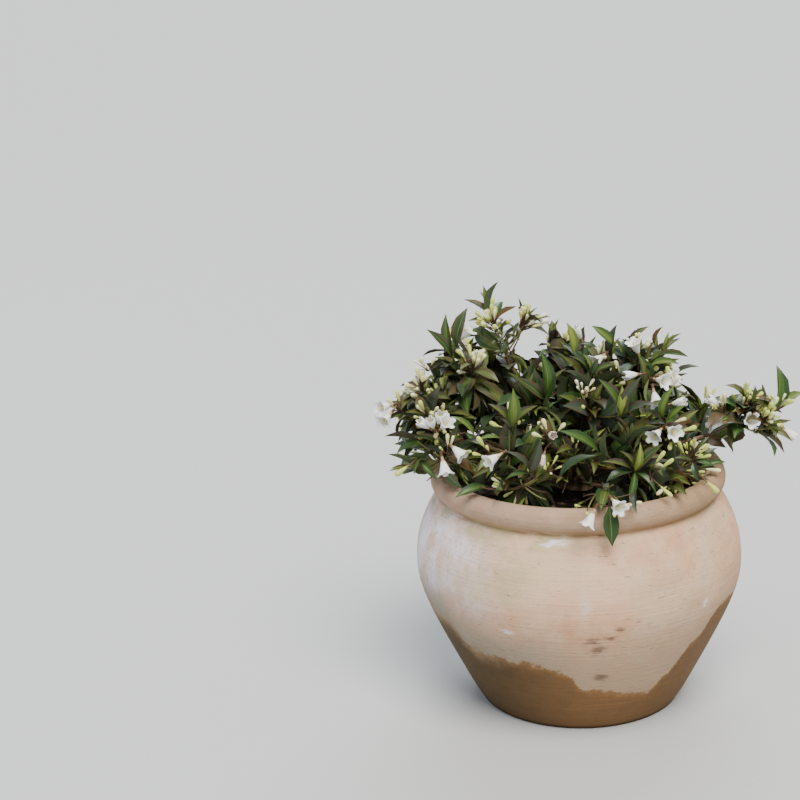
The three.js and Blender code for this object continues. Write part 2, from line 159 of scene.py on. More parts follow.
# What leaves keep off: other masses, the box's edge, the pot, bud heads, flowers and lines of sight
HOME_MARGIN = 0.012
BOX_MARGIN = 0.004
POT_MARGIN = 0.0012
RIM_INNER = 0.008
RIM_ABOVE = 0.018
RIM_BACK = 0.03
BLOSSOM_ROOM = 0.014
HEAD_ROOM = 0.004
HEAD_MIDDLE = 0.012
FLOWER_MIDDLE = 0.022
LEAF_SIGHT = 0.008
SIGHT_STOPS = (0.3, 0.55, 0.8)
SIGHT_BEHIND = 0.004
SIGHT_WITHOUT_END = 9.0

# The golden turn and share, which spread things evenly, and the seed of chance
GOLDEN_ANGLE = math.pi * (3 - math.sqrt(5))
GOLDEN_SHARE = 0.618034
SEED = 7321

# The picture's own camera: where it stands, what its middle looks at, and its roll
PICTURE_WIDTH = 800
LENS_PIXELS = 1900
CAMERA_PLACE = Vector((0, -2.3277, 1.1063))
CAMERA_AIM = Vector((-0.2253, 0, 0.4001))
CAMERA_ROLL = math.radians(-2.33)


def at(x, y, z):
    """A place that is given in whole millimetres."""
    return Vector((x / 1000, y / 1000, z / 1000))


@dataclass
class Mass:
    """A mass of foliage: where its stem starts, the heart of its space, how far its tips reach, how wide it
    fans out in degrees and how much its leaves hang. A lead is a shoot that ends at a known place, with what
    its tip carries. A bloom is a flower, a bud or a head of buds at a known place, with the way it faces.
    Lift is how far a shoot's middle rises for its length, and budding the share of other shoots that end in
    buds. The rows give places and reach in millimetres."""

    name: str
    hub: tuple
    heart: tuple
    reach: float
    fan: float
    hang: float
    leads: list = ()
    blooms: list = ()
    lift: float = SAG
    budding: float = BUDDING

    def __post_init__(self):
        self.hub = at(*self.hub)
        self.heart = at(*self.heart)
        self.reach /= 1000
        self.leads = [(at(x, y, z), carries) for x, y, z, carries in self.leads]
        self.blooms = [(at(x, y, z), Vector(facing), form) for x, y, z, facing, form in self.blooms]


MASSES = [
    Mass("top_left", (-82, 10, 440), (-92, 18, 496), 92, 52, 0.1, budding=0, leads=[
        (-110, 25, 512, "leaves"), (-105, 8, 500, "buds"), (-62, 15, 500, "buds"),
    ], blooms=[
        (-153, 10, 469, (0.65, -0.12, 0.75), "open"),
    ]),
    Mass("left_upper", (-118, -6, 398), (-152, -8, 448), 104, 48, 0.15, leads=[
        (-158, -12, 459, "leaves"), (-129, -20, 452, "buds"), (-160, 15, 462, "flowers"),
    ], blooms=[
        (-186, -20, 444, (-0.6, -0.3, 0.7), "buds"),
    ]),
    Mass("left", (-150, -28, 362), (-205, -34, 398), 100, 52, 0.2, leads=[
        (-196, -24, 424, "buds"), (-222, -25, 392, "flowers"), (-186, -62, 395, "flowers"),
    ], blooms=[
        (-226, -40, 407, (-0.68, -0.72, 0.05), "open"), (-229, -45, 401, (-0.4, -0.8, -0.3), "open"),
        (-175, -75, 380, (-0.64, -0.42, 0.64), "half"), (-175, -75, 380, (-0.17, -0.62, 0.76), "half"),
        (-173, -72, 382, (0.18, -0.46, 0.87), "half"), (-172, -76, 381, (0.47, -0.59, 0.66), "open"),
    ]),
    Mass("left_low", (-138, -66, 334), (-190, -86, 350), 98, 52, 0.35, leads=[
        (-206, -66, 372, "leaves"), (-158, -105, 362, "flowers"), (-206, -84, 336, "leaves"),
    ], blooms=[
        (-167, -108, 366, (0.21, -0.45, -0.87), "open"), (-160, -104, 378, (0.72, -0.39, -0.57), "open"),
        (-199, -85, 348, (-0.78, -0.3, -0.5), "club"),
    ]),
    Mass("front_left", (-66, -76, 344), (-92, -118, 376), 96, 52, 0.25, leads=[
        (-82, -106, 393, "leaves"), (-104, -136, 368, "flowers"),
    ], blooms=[
        (-85, -135, 375, (-0.75, -0.59, -0.31), "open"),
    ]),
    Mass("front_low", (-52, -102, 324), (-74, -154, 332), 92, 50, 0.4, leads=[
        (-48, -148, 343, "leaves"), (-118, -150, 334, "leaves"),
    ]),
    Mass("centre", (8, -32, 368), (12, -52, 418), 100, 58, 0.15, leads=[
        (-43, -45, 418, "leaves"), (23, -38, 434, "leaves"), (52, -84, 402, "leaves"),
    ], blooms=[
        (9, -55, 420, (0, -0.55, 0.8), "buds"),
    ]),
    Mass("front_right", (52, -78, 332), (70, -124, 352), 94, 56, 0.25, leads=[
        (74, -125, 354, "leaves"), (88, -138, 336, "leaves"),
    ], blooms=[
        (87, -150, 328, (0.5, -0.35, -0.75), "club"), (90, -142, 340, (0.6, -0.4, -0.45), "bud"),
        (92, -140, 346, (0.65, -0.3, 0.6), "bud"), (88, -140, 350, (0.5, -0.3, 0.8), "bud"),
    ]),
    Mass("front_middle", (-6, -74, 336), (-4, -122, 366), 92, 58, 0.25, leads=[
        (-1, -126, 369, "leaves"), (-14, -146, 340, "leaves"), (-33, -118, 384, "flowers"),
    ], blooms=[
        (-35, -145, 350, (0.2, -0.7, 0.6), "buds"), (-37, -120, 374, (-0.25, -0.6, -0.75), "withered"),
        (-36, -118, 390, (0.3, -0.8, 0.2), "withered"),
    ]),
    Mass("over_rim", (28, -112, 320), (34, -182, 318), 88, 34, 0.8, lift=0.22, leads=[
        (52, -184, 322, "flowers"), (12, -190, 318, "flowers"), (38, -190, 322, "leaf"),
    ], blooms=[
        (38, -186, 334, (0.43, -0.87, -0.24), "open"), (24, -202, 330, (-0.45, -0.3, -0.85), "open"),
    ]),
    Mass("right_upper", (84, -44, 358), (110, -60, 396), 98, 52, 0.2, leads=[
        (106, -68, 392, "leaves"), (116, -38, 420, "flowers"), (118, -84, 376, "flowers"),
    ], blooms=[
        (88, -20, 437, (-0.92, -0.38, 0.02), "half"), (93, -25, 432, (0.64, -0.76, 0.07), "open"),
        (99, -20, 433, (0.87, -0.48, 0.13), "open"), (95, -35, 427, (0.16, -0.73, -0.66), "open"),
        (109, -40, 401, (0.86, -0.42, 0.28), "half"), (107, -90, 390, (-0.49, -0.83, -0.26), "open"),
        (107, -90, 390, (0.44, -0.9, -0.04), "open"),
    ]),
    Mass("top_centre", (14, 16, 398), (22, 14, 452), 96, 56, 0.1, leads=[
        (-6, 10, 454, "leaves"), (46, 20, 450, "leaves"), (30, 0, 450, "flowers"),
    ], blooms=[
        (12, 15, 465, (-0.41, -0.27, 0.87), "half"), (41, 0, 460, (-0.63, -0.73, -0.27), "open"),
    ]),
    Mass("top_right", (66, 18, 392), (92, 20, 450), 102, 54, 0.1, leads=[
        (112, 22, 455, "leaves"), (78, 15, 458, "flowers"), (83, 34, 440, "leaves"),
    ], blooms=[
        (83, 12, 445, (-0.33, -0.25, 0.91), "open"),
    ]),
    Mass("right_low", (102, -62, 324), (138, -92, 326), 92, 52, 0.35, leads=[
        (140, -68, 342, "buds"), (160, -96, 322, "leaves"), (112, -116, 322, "leaves"),
    ], blooms=[
        (147, -120, 338, (0.72, -0.27, -0.64), "club"), (120, -118, 330, (-0.6, -0.5, -0.3), "bud"),
        (118, -110, 340, (-0.7, -0.4, 0.4), "bud"), (141, -92, 344, (0.61, -0.26, 0.75), "bud"),
        (144, -92, 336, (0.94, -0.35, 0), "bud"), (136, -92, 344, (-0.37, -0.29, 0.89), "bud"),
        (134, -92, 336, (-0.8, -0.58, -0.17), "bud"), (137, -90, 351, (0.2, -0.6, 0.7), "buds"),
    ]),
    Mass("right_shoot", (160, -16, 352), (222, -18, 382), 132, 24, 0.15, leads=[
        (262, -15, 392, "leaves"), (214, -18, 400, "buds"), (186, -30, 386, "flowers"),
        (236, -34, 380, "buds"),
    ], blooms=[
        (188, -18, 386, (-0.78, -0.15, 0.61), "half"), (194, -24, 374, (-0.95, -0.3, -0.04), "open"),
        (207, -26, 380, (0.35, -0.93, 0.14), "open"), (250, -22, 370, (0.78, -0.2, -0.59), "half"),
        (251, -20, 386, (0.5, -0.4, 0.6), "buds"),
    ]),
    Mass("left_back", (-158, 34, 348), (-208, 46, 372), 96, 54, 0.25, leads=[(-216, 40, 372, "leaves")]),
    Mass("back_left", (-98, 66, 382), (-132, 92, 424), 98, 56, 0.15, leads=[(-140, 96, 428, "buds")]),
    Mass("back_top", (-26, 66, 390), (-34, 92, 436), 98, 58, 0.1, leads=[(-30, 84, 452, "leaves")]),
    Mass("back_right", (60, 80, 374), (88, 108, 416), 100, 58, 0.15, leads=[(92, 110, 420, "flowers")]),
    Mass("right_back", (130, 48, 334), (172, 62, 350), 96, 56, 0.25, leads=[(180, 64, 352, "leaves")]),
    Mass("back_low_left", (-98, 108, 330), (-134, 146, 350), 96, 56, 0.3, leads=[
        (-136, 148, 352, "flowers"),
    ]),
    Mass("back_low", (-8, 124, 338), (-8, 172, 362), 96, 58, 0.3, leads=[(-8, 176, 364, "buds")]),
    Mass("back_low_right", (86, 118, 328), (118, 154, 346), 96, 56, 0.3, leads=[(122, 156, 348, "leaves")]),
    Mass("centre_left", (-46, -12, 372), (-64, -22, 422), 92, 54, 0.15, leads=[
        (-70, -20, 420, "leaves"), (-56, 4, 425, "leaves"),
    ]),
]

# Places between sprays that stay open, each with half its width, in millimetres
OPEN_PLACES = [
    ((-62, 5, 471), 12), ((-84, 0, 473), 9), ((168, 20, 405), 14), ((236, -20, 324), 12),
    ((-18, -150, 321), 8), ((3, -150, 324), 8),
]

# Leaves in plain sight, in millimetres: their mass and root, and the tip and tint of each
CLEAR_SPRAYS = [
    ("front_low", (-110, -122, 325), [(-150, -146, 318, "green")]),
    ("over_rim", (70, -160, 328), [(70, -198, 313, "slate")]),
    ("front_middle", (28, -112, 363), [(-22, -128, 398, "green")]),
    ("front_middle", (-21, -140, 341), [(26, -142, 371, "slate")]),
    ("right_upper", (108, -78, 391), [(122, -72, 439, "fresh")]),
    ("right_upper", (112, -80, 394), [(136, -84, 416, "fresh")]),
    ("top_centre", (46, 6, 450), [(53, 4, 497, "slate")]),
    ("top_right", (100, 8, 466), [(111, 4, 493, "russet")]),
    ("top_right", (104, 4, 454), [(143, -4, 453, "bronze")]),
    ("top_right", (121, 0, 425), [(158, -4, 441, "slate")]),
    ("left_upper", (-155, -18, 460), [(-187, -24, 501, "bronze")]),
    ("left_upper", (-155, -18, 461), [(-162, -10, 518, "bronze")]),
    ("left_upper", (-149, -16, 474), [(-133, -10, 527, "bronze")]),
    ("centre", (-37, -62, 416), [
        (-78, -74, 452, "bronze"), (-43, -64, 483, "green"), (-9, -66, 461, "bronze"),
    ]),
    ("centre", (18, -50, 443), [(-9, -58, 473, "bronze"), (51, -58, 461, "bronze")]),
    ("centre", (55, -96, 403), [
        (26, -100, 456, "bronze"), (56, -98, 448, "young"), (81, -98, 459, "slate"),
        (96, -108, 426, "slate"),
    ]),
    ("front_left", (-78, -110, 396), [
        (-108, -118, 431, "bronze"), (-76, -112, 449, "fresh"), (-44, -116, 428, "bronze"),
    ]),
    ("front_low", (-57, -146, 351), [(-88, -156, 383, "slate"), (-42, -150, 396, "slate")]),
    ("front_low", (-57, -146, 349), [(-88, -158, 345, "green")]),
    ("top_centre", (-3, 0, 458), [(-11, 0, 501, "young")]),
    ("top_centre", (49, 0, 469), [(19, 0, 496, "fresh")]),
    ("top_centre", (28, 0, 465), [(4, -2, 472, "slate")]),
    ("top_right", (66, 22, 459), [(95, 26, 487, "bronze")]),
    ("top_right", (93, -5, 442), [(132, -8, 445, "fresh")]),
    ("centre", (18, -52, 446), [(9, -52, 474, "fresh"), (30, -52, 469, "slate")]),
    ("front_left", (-126, -92, 380), [(-156, -95, 408, "fresh")]),
    ("front_left", (-94, -108, 382), [(-124, -112, 379, "fresh")]),
    ("left_low", (-195, -85, 345), [(-174, -95, 323, "green")]),
    ("top_left", (-93, 0, 471), [(-110, -4, 492, "bronze")]),
    ("top_left", (-88, 0, 471), [(-74, -4, 489, "bronze")]),
    ("top_left", (-90, -4, 462), [(-105, -8, 464, "bronze")]),
    ("top_left", (-86, 0, 478), [(-94, -10, 458, "slate")]),
    ("front_right", (70, -128, 344), [
        (77, -132, 386, "young"), (50, -134, 375, "bronze"), (105, -134, 382, "bronze"),
        (116, -138, 361, "slate"), (29, -140, 362, "bronze"), (62, -146, 308, "green"),
        (97, -146, 318, "green"), (32, -144, 335, "slate"),
    ]),
    ("top_left", (-89, 0, 478), [(-109, -8, 472, "bronze")]),
    ("top_left", (-89, 0, 483), [(-68, -8, 478, "bronze")]),
    ("top_left", (-92, 0, 486), [(-79, -6, 508, "bronze")]),
    ("right_low", (149, -60, 330), [(176, -52, 349, "bronze")]),
    ("right_low", (152, -62, 325), [(187, -54, 330, "green")]),
    ("right_low", (148, -60, 338), [(166, -54, 366, "bronze")]),
    ("right_low", (141, -62, 336), [(143, -60, 369, "bronze")]),
    ("right_low", (155, -66, 324), [(181, -56, 315, "slate")]),
    ("left_low", (-148, -70, 356), [(-110, -74, 369, "slate")]),
    ("left_low", (-138, -66, 376), [(-116, -72, 350, "green")]),
    ("left_low", (-108, -78, 354), [(-140, -76, 369, "bronze")]),
    ("right_low", (141, -92, 346), [(118, -102, 352, "bronze")]),
    ("right_low", (144, -92, 346), [(164, -100, 358, "bronze")]),
    ("right_low", (142, -94, 344), [(150, -104, 320, "slate")]),
    ("right_low", (141, -92, 348), [(134, -100, 372, "bronze")]),
    ("right_low", (145, -92, 345), [(168, -98, 340, "green")]),
]
CLEAR_LEAVES = [
    (name, at(*root), at(x, y, z), tint) for name, root, leaves in CLEAR_SPRAYS for x, y, z, tint in leaves
]


# Finishes


class Value:
    """A socket that Python's operators work on, so that a pattern reads as plain arithmetic."""

    def __init__(self, finish, socket):
        self.finish = finish
        self.socket = socket

    def calculated(self, operation, *values):
        return self.finish.node("ShaderNodeMath", {"operation": operation}, dict(enumerate(values)))

    def __add__(self, other):
        return self.calculated("ADD", self, other)

    __radd__ = __add__

    def __sub__(self, other):
        return self.calculated("SUBTRACT", self, other)

    def __rsub__(self, other):
        return self.calculated("SUBTRACT", other, self)

    def __mul__(self, other):
        return self.calculated("MULTIPLY", self, other)

    __rmul__ = __mul__

    def __abs__(self):
        return self.calculated("ABSOLUTE", self)

    def rising(self, low, high):
        """0 below low, 1 above high and a soft step between; it falls instead where low is the larger."""
        settings = {"interpolation_type": "SMOOTHSTEP"}
        values = {"Value": self, "From Min": low, "From Max": high}
        return self.finish.node("ShaderNodeMapRange", settings, values)


class Finish:
    """A material in the making, around one Principled shader."""

    def __init__(self, name, constants):
        self.material = bpy.data.materials.new(name)
        self.material.use_nodes = True
        self.nodes = self.material.node_tree.nodes
        self.shader = self.nodes["Principled BSDF"]
        self.set(constants)

    def set(self, values):
        for name, value in values.items():
            self.put(value, self.shader.inputs[name])

    def put(self, value, socket):
        if isinstance(value, Value):
            self.material.node_tree.links.new(value.socket, socket)
        else:
            socket.default_value = value

    def node(self, kind, settings, values, output=0):
        made = self.nodes.new(kind)
        for name, setting in settings.items():
            if name == "stops":
                self.fill_ramp(made.color_ramp, setting)
            else:
                setattr(made, name, setting)
        for socket, value in values.items():
            self.put(value, made.inputs[socket])
        return Value(self, made.outputs[output])

    def fill_ramp(self, ramp, stops):
        ramp.interpolation = "EASE"
        while len(ramp.elements) < len(stops):
            ramp.elements.new(1)
        for element, (position, level) in zip(ramp.elements, stops):
            element.position = position
            element.color = (level, level, level, 1)

    def place(self):
        return self.node("ShaderNodeTexCoord", {}, {}, "Object")

    def stretched(self, place, scale):
        return self.node("ShaderNodeMapping", {}, {"Vector": place, "Scale": scale})

    def cloud(self, place, scale, detail):
        return self.node("ShaderNodeTexNoise", {}, {"Vector": place, "Scale": scale, "Detail": detail})

    def mixed(self, first, second, share):
        settings = {"data_type": "RGBA"}
        return self.node("ShaderNodeMix", settings, {"Factor": share, 6: first, 7: second}, 2)

    def layered(self, colour, layers):
        """A colour under layers of others, each with its share, the last on top."""
        for tone, share in layers:
            colour = self.mixed(colour, tone, share)
        return colour

    def bumped(self, height, distance):
        self.set({"Normal": self.node("ShaderNodeBump", {}, {"Height": height, "Distance": distance})})


# The pot's tones
PEACH = (0.64, 0.37, 0.22, 1)
CREAM = (0.66, 0.46, 0.31, 1)
ROSE = (0.60, 0.31, 0.20, 1)
OLIVE = (0.44, 0.36, 0.19, 1)
CHALK = (0.82, 0.79, 0.88, 1)
PALE = (0.70, 0.54, 0.43, 1)
# Painted light: a lighter peach laid on the front of the upper belly
PAINTED_LIGHT_PEACH = (0.80, 0.53, 0.36, 1)
STRAW = (0.62, 0.50, 0.29, 1)
COLLAR = (0.39, 0.25, 0.165, 1)
# Dust, also used as painted shade on the lower part and the lower right of the pot
DUST_AND_SHADE = (0.42, 0.30, 0.20, 1)
STAIN = (0.30, 0.19, 0.09, 1)
DAMP = (0.185, 0.096, 0.038, 1)
DAMP_EDGE = (0.265, 0.138, 0.048, 1)
# The damp clay's darkest tone: painted shade on the left and right of the damp zone, also darkening its
# bottom and the foot
DAMP_SHADE = (0.036, 0.024, 0.007, 1)
# Painted shade: a grey laid on the lower left of the pot
SHADE_GREY = (0.27, 0.25, 0.20, 1)
GRIME = (0.15, 0.10, 0.07, 1)

# Where the collar starts, the height that the tide's ramp calls 1, and how wide the faint marks are
COLLAR_FROM = 0.2825
TIDE_SCALE = 0.25
BIG_MARK = 0.02

# The bark's and the potting mix's tones
BARK_DARK = (0.10, 0.055, 0.030, 1)
BARK_PALE = (0.26, 0.18, 0.11, 1)
BARK_FLECK = (0.40, 0.33, 0.24, 1)
MIX_DARK = (0.007, 0.005, 0.003, 1)
MIX_CRUMB = (0.026, 0.017, 0.011, 1)
MIX_DRY = (0.042, 0.029, 0.018, 1)

# The damp zone's upper edge round the pot: part of a turn from the back, by the left, and height
TIDE = [
    (0.0, 0.120), (0.17, 0.150), (0.34, 0.143), (0.375, 0.113), (0.447, 0.114), (0.476, 0.104),
    (0.512, 0.070), (0.589, 0.056), (0.612, 0.079), (0.632, 0.121), (0.665, 0.164), (0.80, 0.140),
    (1.0, 0.120),
]

# Marks on the pot's front: azimuth in degrees, height, half its width, how tall it is for its width, and tone
MARKS = [
    (8, 0.262, 0.034, 0.5, ROSE),
    (-4, 0.172, 0.026, 0.7, ROSE),
    (30, 0.235, 0.030, 0.7, PEACH),
    (-27, 0.228, 0.046, 0.8, OLIVE),
    (-36, 0.205, 0.050, 0.5, STRAW),
    (-14, 0.240, 0.040, 0.6, STRAW),
    (22, 0.252, 0.040, 0.45, ROSE),
    (40, 0.262, 0.026, 0.5, ROSE),
    (-42, 0.266, 0.046, 0.35, OLIVE),
    (-58, 0.262, 0.030, 0.6, CHALK),
    (-9, 0.273, 0.018, 0.4, CHALK),
    (2, 0.200, 0.010, 3.0, PALE),
    (-25, 0.158, 0.009, 0.5, CHALK),
    (48, 0.178, 0.007, 1.0, CHALK),
    (14, 0.168, 0.010, 0.5, GRIME),
    (5, 0.153, 0.012, 0.6, GRIME),
    (11, 0.156, 0.011, 0.4, GRIME),
    (7, 0.140, 0.013, 0.8, GRIME),
    (8, 0.094, 0.010, 1.0, GRIME),
]


def terracotta():
    """Hand-thrown clay: peach and cream, chalky on the left, with a brown collar, a damp foot, and painted
    light and shade.
    """
    clay = Finish("terracotta", {"Specular IOR Level": 0.12})
    place = clay.place()
    x, y, z = (clay.node("ShaderNodeSeparateXYZ", {}, {"Vector": place}, axis) for axis in "XYZ")
    leftward, forward = -1 * x, -1 * y
    turn = x.calculated("ARCTAN2", x, forward) * (0.5 / math.pi) + 0.5
    radius = clay.node("ShaderNodeMath", {"operation": "SQRT"}, {0: x * x + y * y})
    patches = clay.cloud(place, 9.0, 4.0)
    drifts = clay.cloud(clay.stretched(place, (1, 1, 2.4)), 18.0, 5.0)
    wisps = clay.cloud(clay.stretched(place, (1.5, 1.5, 1)), 14.0, 5.0)
    mottle = clay.cloud(place, 55.0, 4.0)
    speckle = clay.cloud(place, 150.0, 3.0)
    grain = clay.cloud(place, 420.0, 2.0)
    rings = clay.cloud(clay.stretched(place, (0.5, 0.5, 24)), 12.0, 3.0)
    scratches = clay.cloud(clay.stretched(place, (1, 1, 9)), 75.0, 2.0)
    front = forward.rising(-0.05, 0.10)
    left = leftward.rising(0.07, 0.19)
    ahead = forward.rising(-0.05, 0.05) * 0.6 + 0.4
    # Where painted shade falls: the left side, less towards the back
    shaded = leftward.rising(-0.02, 0.13) * ahead

    mossy = patches.rising(0.52, 0.40) * drifts.rising(0.42, 0.60) * z.rising(0.15, 0.22)
    chalky = left * ahead * (0.25 + wisps.rising(0.36, 0.58) * 0.65) * z.rising(0.14, 0.20)
    # Painted light: lighter on the front of the upper belly, where the light falls most
    painted_light = abs(x).rising(0.13, 0.02) * front * z.rising(0.17, 0.21)
    colour = clay.layered(CREAM, [
        (PEACH, patches.rising(0.40, 0.62)),
        (ROSE, drifts.rising(0.52, 0.72) * 0.6),
        (CREAM, mottle.rising(0.50, 0.66) * 0.6),
        (DUST_AND_SHADE, mottle.rising(0.46, 0.34) * 0.25),
        (DUST_AND_SHADE, rings.rising(0.50, 0.72) * 0.17),
        (OLIVE, mossy * 0.38),
        (CHALK, chalky),
        # Painted shade: darker and greyer towards the bottom of the pot
        (DUST_AND_SHADE, z.rising(0.185, 0.085) * 0.72),
        (DUST_AND_SHADE, speckle.rising(0.50, 0.72) * 0.38),
        (DUST_AND_SHADE, grain.rising(0.50, 0.75) * 0.30),
        # Painted shade: greyer and darker on the lower left
        (SHADE_GREY, left * z.rising(0.235, 0.12) * 0.75),
        # painted light on the front of the belly
        (PAINTED_LIGHT_PEACH, painted_light * 0.50),
    ])

    outside = radius.rising(0.168, 0.174)
    inside = 1 - radius.rising(0.163, 0.167)
    fold = abs(z - COLLAR_FROM).rising(0.008, 0.0005) * outside
    runs = abs(z - 0.274).rising(0.018, 0.002) * outside * leftward.rising(-0.06, 0.08)
    # Painted shade on the lower right of the pot
    shaded_lower_right = x.rising(0.02, 0.14) * z.rising(0.23, 0.12)
    rolled = clay.layered(COLLAR, [
        (DUST_AND_SHADE, mottle.rising(0.40, 0.66) * 0.7),
        (STAIN, drifts.rising(0.52, 0.70) * 0.35),
        (STAIN, x.rising(0.06, 0.16) * 0.70),
    ])
    colour = clay.layered(colour, [
        (rolled, z.rising(COLLAR_FROM, 0.2855) * outside * 0.92),
        (COLLAR, inside * 0.8),
        # darker along the fold under the rim
        (STAIN, fold * drifts.rising(0.34, 0.56) * 0.9),
        (OLIVE, runs * wisps.rising(0.42, 0.56) * 0.8),
        # painted shade on the lower right
        (DUST_AND_SHADE, shaded_lower_right * 0.45),
    ])

    tide = clay.node("ShaderNodeValToRGB", {"stops": [(t, h / TIDE_SCALE) for t, h in TIDE]}, {"Fac": turn})
    ragged = (drifts - 0.5) * 0.016 + (mottle - 0.5) * 0.016 + (speckle - 0.5) * 0.012 + (grain - 0.5) * 0.010
    depth = tide * TIDE_SCALE + ragged - z
    slow = leftward.rising(0.06, 0.15) * 0.85
    damp = depth.rising(-0.0015, 0.004) * (1 - slow) + depth.rising(-0.022, 0.024) * slow
    drying = depth.rising(-0.055, 0.0)
    # Painted shade on the damp zone's left side, with some mottle
    shade_and_mottle = (shaded * 0.74 + mottle.rising(0.50, 0.68) * 0.10) * depth.rising(-0.01, 0.03)
    wet = clay.layered(DAMP_EDGE, [
        (DAMP, depth.rising(0.0, 0.016)),
        (DAMP_EDGE, rings.rising(0.48, 0.72) * 0.40),
        (DAMP_SHADE, shade_and_mottle),
        # darker towards the bottom
        (DAMP_SHADE, z.rising(0.050, 0.0) * 0.15),
        # Painted shade on the damp zone's right side
        (DAMP_SHADE, x.rising(0.03, 0.12) * 0.22),
    ])
    colour = clay.layered(colour, [
        (DUST_AND_SHADE, drying * 0.55),
        # Painted shade over the drying band on the left
        (SHADE_GREY, drying * shaded * 0.8),
        (wet, damp * 0.94),
        # darker along the foot's edge
        (DAMP_SHADE, z.rising(0.007, 0.002) * 0.8),
    ])

    for azimuth, height, half, tall, tone in MARKS:
        angle = math.radians(azimuth)
        reach = pot_radius(height)
        spot = (reach * math.sin(angle), -reach * math.cos(angle), height / tall)
        values = {0: clay.stretched(place, (1, 1, 1 / tall)), 1: spot}
        away = clay.node("ShaderNodeVectorMath", {"operation": "DISTANCE"}, values, "Value")
        mark = (away + (scratches - 0.5) * half * 2.4 + (mottle - 0.5) * half * 2).rising(half, half * 0.1)
        colour = clay.mixed(colour, tone, mark * (0.5 if half > BIG_MARK else 0.8))
    specks = scratches.rising(0.68, 0.76)
    scuffs = scratches.rising(0.34, 0.26) * front * (1 - damp)
    colour = clay.layered(colour, [(GRIME, specks * front * 0.6), (CREAM, scuffs * 0.5)])

    clay.set({"Base Color": colour, "Roughness": 0.88 - damp * 0.20 + grain * 0.08})
    clay.bumped(rings * 0.7 + grain * 0.25 + specks * -0.5 + drifts * 0.3 + mottle * 0.3, 0.0012)
    return clay.material


def bark():
    """Grey-brown bark with pale flecks and fine cracks."""
    skin = Finish("bark", {"Specular IOR Level": 0.25})
    place = skin.place()
    flecks = skin.cloud(place, 260.0, 3.0)
    tone = skin.cloud(place, 45.0, 3.0)
    colour = skin.layered(BARK_DARK, [
        (BARK_PALE, tone.rising(0.35, 0.65)),
        (BARK_FLECK, flecks.rising(0.60, 0.72) * 0.6),
    ])
    skin.set({"Base Color": colour, "Roughness": 0.75 + tone * 0.15})
    skin.bumped(flecks + tone * 0.5, 0.0006)
    return skin.material


def soil_mix():
    """Dark, moist potting mix."""
    mix = Finish("potting_mix", {"Specular IOR Level": 0.3})
    place = mix.place()
    crumbs = mix.cloud(place, 160.0, 4.0)
    tone = mix.cloud(place, 24.0, 3.0)
    colour = mix.layered(MIX_DARK, [
        (MIX_CRUMB, crumbs.rising(0.35, 0.70)),
        (MIX_DRY, tone.rising(0.55, 0.75) * 0.5),
    ])
    mix.set({"Base Color": colour, "Roughness": 0.80 + crumbs * 0.15})
    mix.bumped(crumbs, 0.003)
    return mix.material


def plain(name, red, green, blue, roughness):
    """A plain base colour for leaves, twigs and blossom, which are dealt out spray by spray."""
    constants = {"Base Color": (red, green, blue, 1), "Roughness": roughness, "Specular IOR Level": 0.3}
    return Finish(name, constants).material


PLAIN_TONES = {
    "leaf_plum": (0.056, 0.044, 0.030, 0.38),
    "leaf_bronze": (0.072, 0.061, 0.024, 0.36),
    "leaf_slate": (0.043, 0.061, 0.038, 0.38),
    "leaf_deep": (0.029, 0.060, 0.017, 0.32),
    "leaf_green": (0.050, 0.102, 0.018, 0.34),
    "leaf_olive": (0.083, 0.108, 0.022, 0.36),
    "leaf_moss": (0.116, 0.158, 0.029, 0.38),
    "leaf_lime": (0.210, 0.265, 0.040, 0.40),
    "leaf_russet": (0.100, 0.050, 0.018, 0.38),
    "rib_pale": (0.165, 0.185, 0.055, 0.45),
    "rib_dull": (0.078, 0.086, 0.030, 0.45),
    "under_grey": (0.060, 0.082, 0.038, 0.50),
    "under_bronze": (0.058, 0.054, 0.030, 0.50),
    "under_lime": (0.160, 0.195, 0.065, 0.50),
    "twig_green": (0.170, 0.160, 0.045, 0.55),
    "twig_red": (0.082, 0.044, 0.024, 0.55),
    "calyx": (0.108, 0.050, 0.025, 0.50),
    "blush": (0.430, 0.290, 0.170, 0.50),
    "bud_cream": (0.800, 0.760, 0.380, 0.45),
    "bud_lime": (0.560, 0.620, 0.150, 0.45),
    "bud_white": (0.830, 0.810, 0.560, 0.45),
    "petal": (0.900, 0.900, 0.880, 0.50),
    "petal_shade": (0.800, 0.800, 0.640, 0.50),
    "withered": (0.620, 0.540, 0.430, 0.70),
    "stamen": (0.720, 0.660, 0.280, 0.50),
}
TONES = {name: plain(name, *tone) for name, tone in PLAIN_TONES.items()}
TONES["bark"] = bark()


def leaf_tones(*rows):
    """Leaves' four tones: the outer part, the part along the midrib, the midrib and the underside."""
    kinds = ("leaf_", "leaf_", "rib_", "under_")
    return [tuple(kind + word for kind, word in zip(kinds, row.split())) for row in rows]


# The tones of a shoot's first pair of leaves, of its second, and of the older ones by its spray's tint
YOUNG = leaf_tones(
    "olive moss pale lime", "moss lime pale lime", "russet moss pale bronze", "olive lime pale lime"
)
FRESH = leaf_tones(
    "bronze moss pale grey", "olive moss pale grey", "russet olive pale bronze", "bronze olive pale bronze"
)
GROWN = {
    "bronze": leaf_tones(
        "plum bronze dull bronze", "bronze olive pale grey", "plum deep dull grey", "bronze deep pale bronze"
    ),
    "slate": leaf_tones(
        "slate deep dull grey", "plum slate dull bronze", "slate slate pale grey", "deep green pale grey"
    ),
    "green": leaf_tones(
        "deep green pale grey", "deep olive pale grey", "slate deep dull grey", "deep deep pale grey"
    ),
}
SPRAY_TINTS = ["bronze", "slate", "bronze", "green", "slate", "bronze", "green"]
# Lower masses take darker tints: partly their own colour, partly painted shade near the rim
LOW_TINTS = ["slate", "green", "green", "slate", "bronze", "green"]

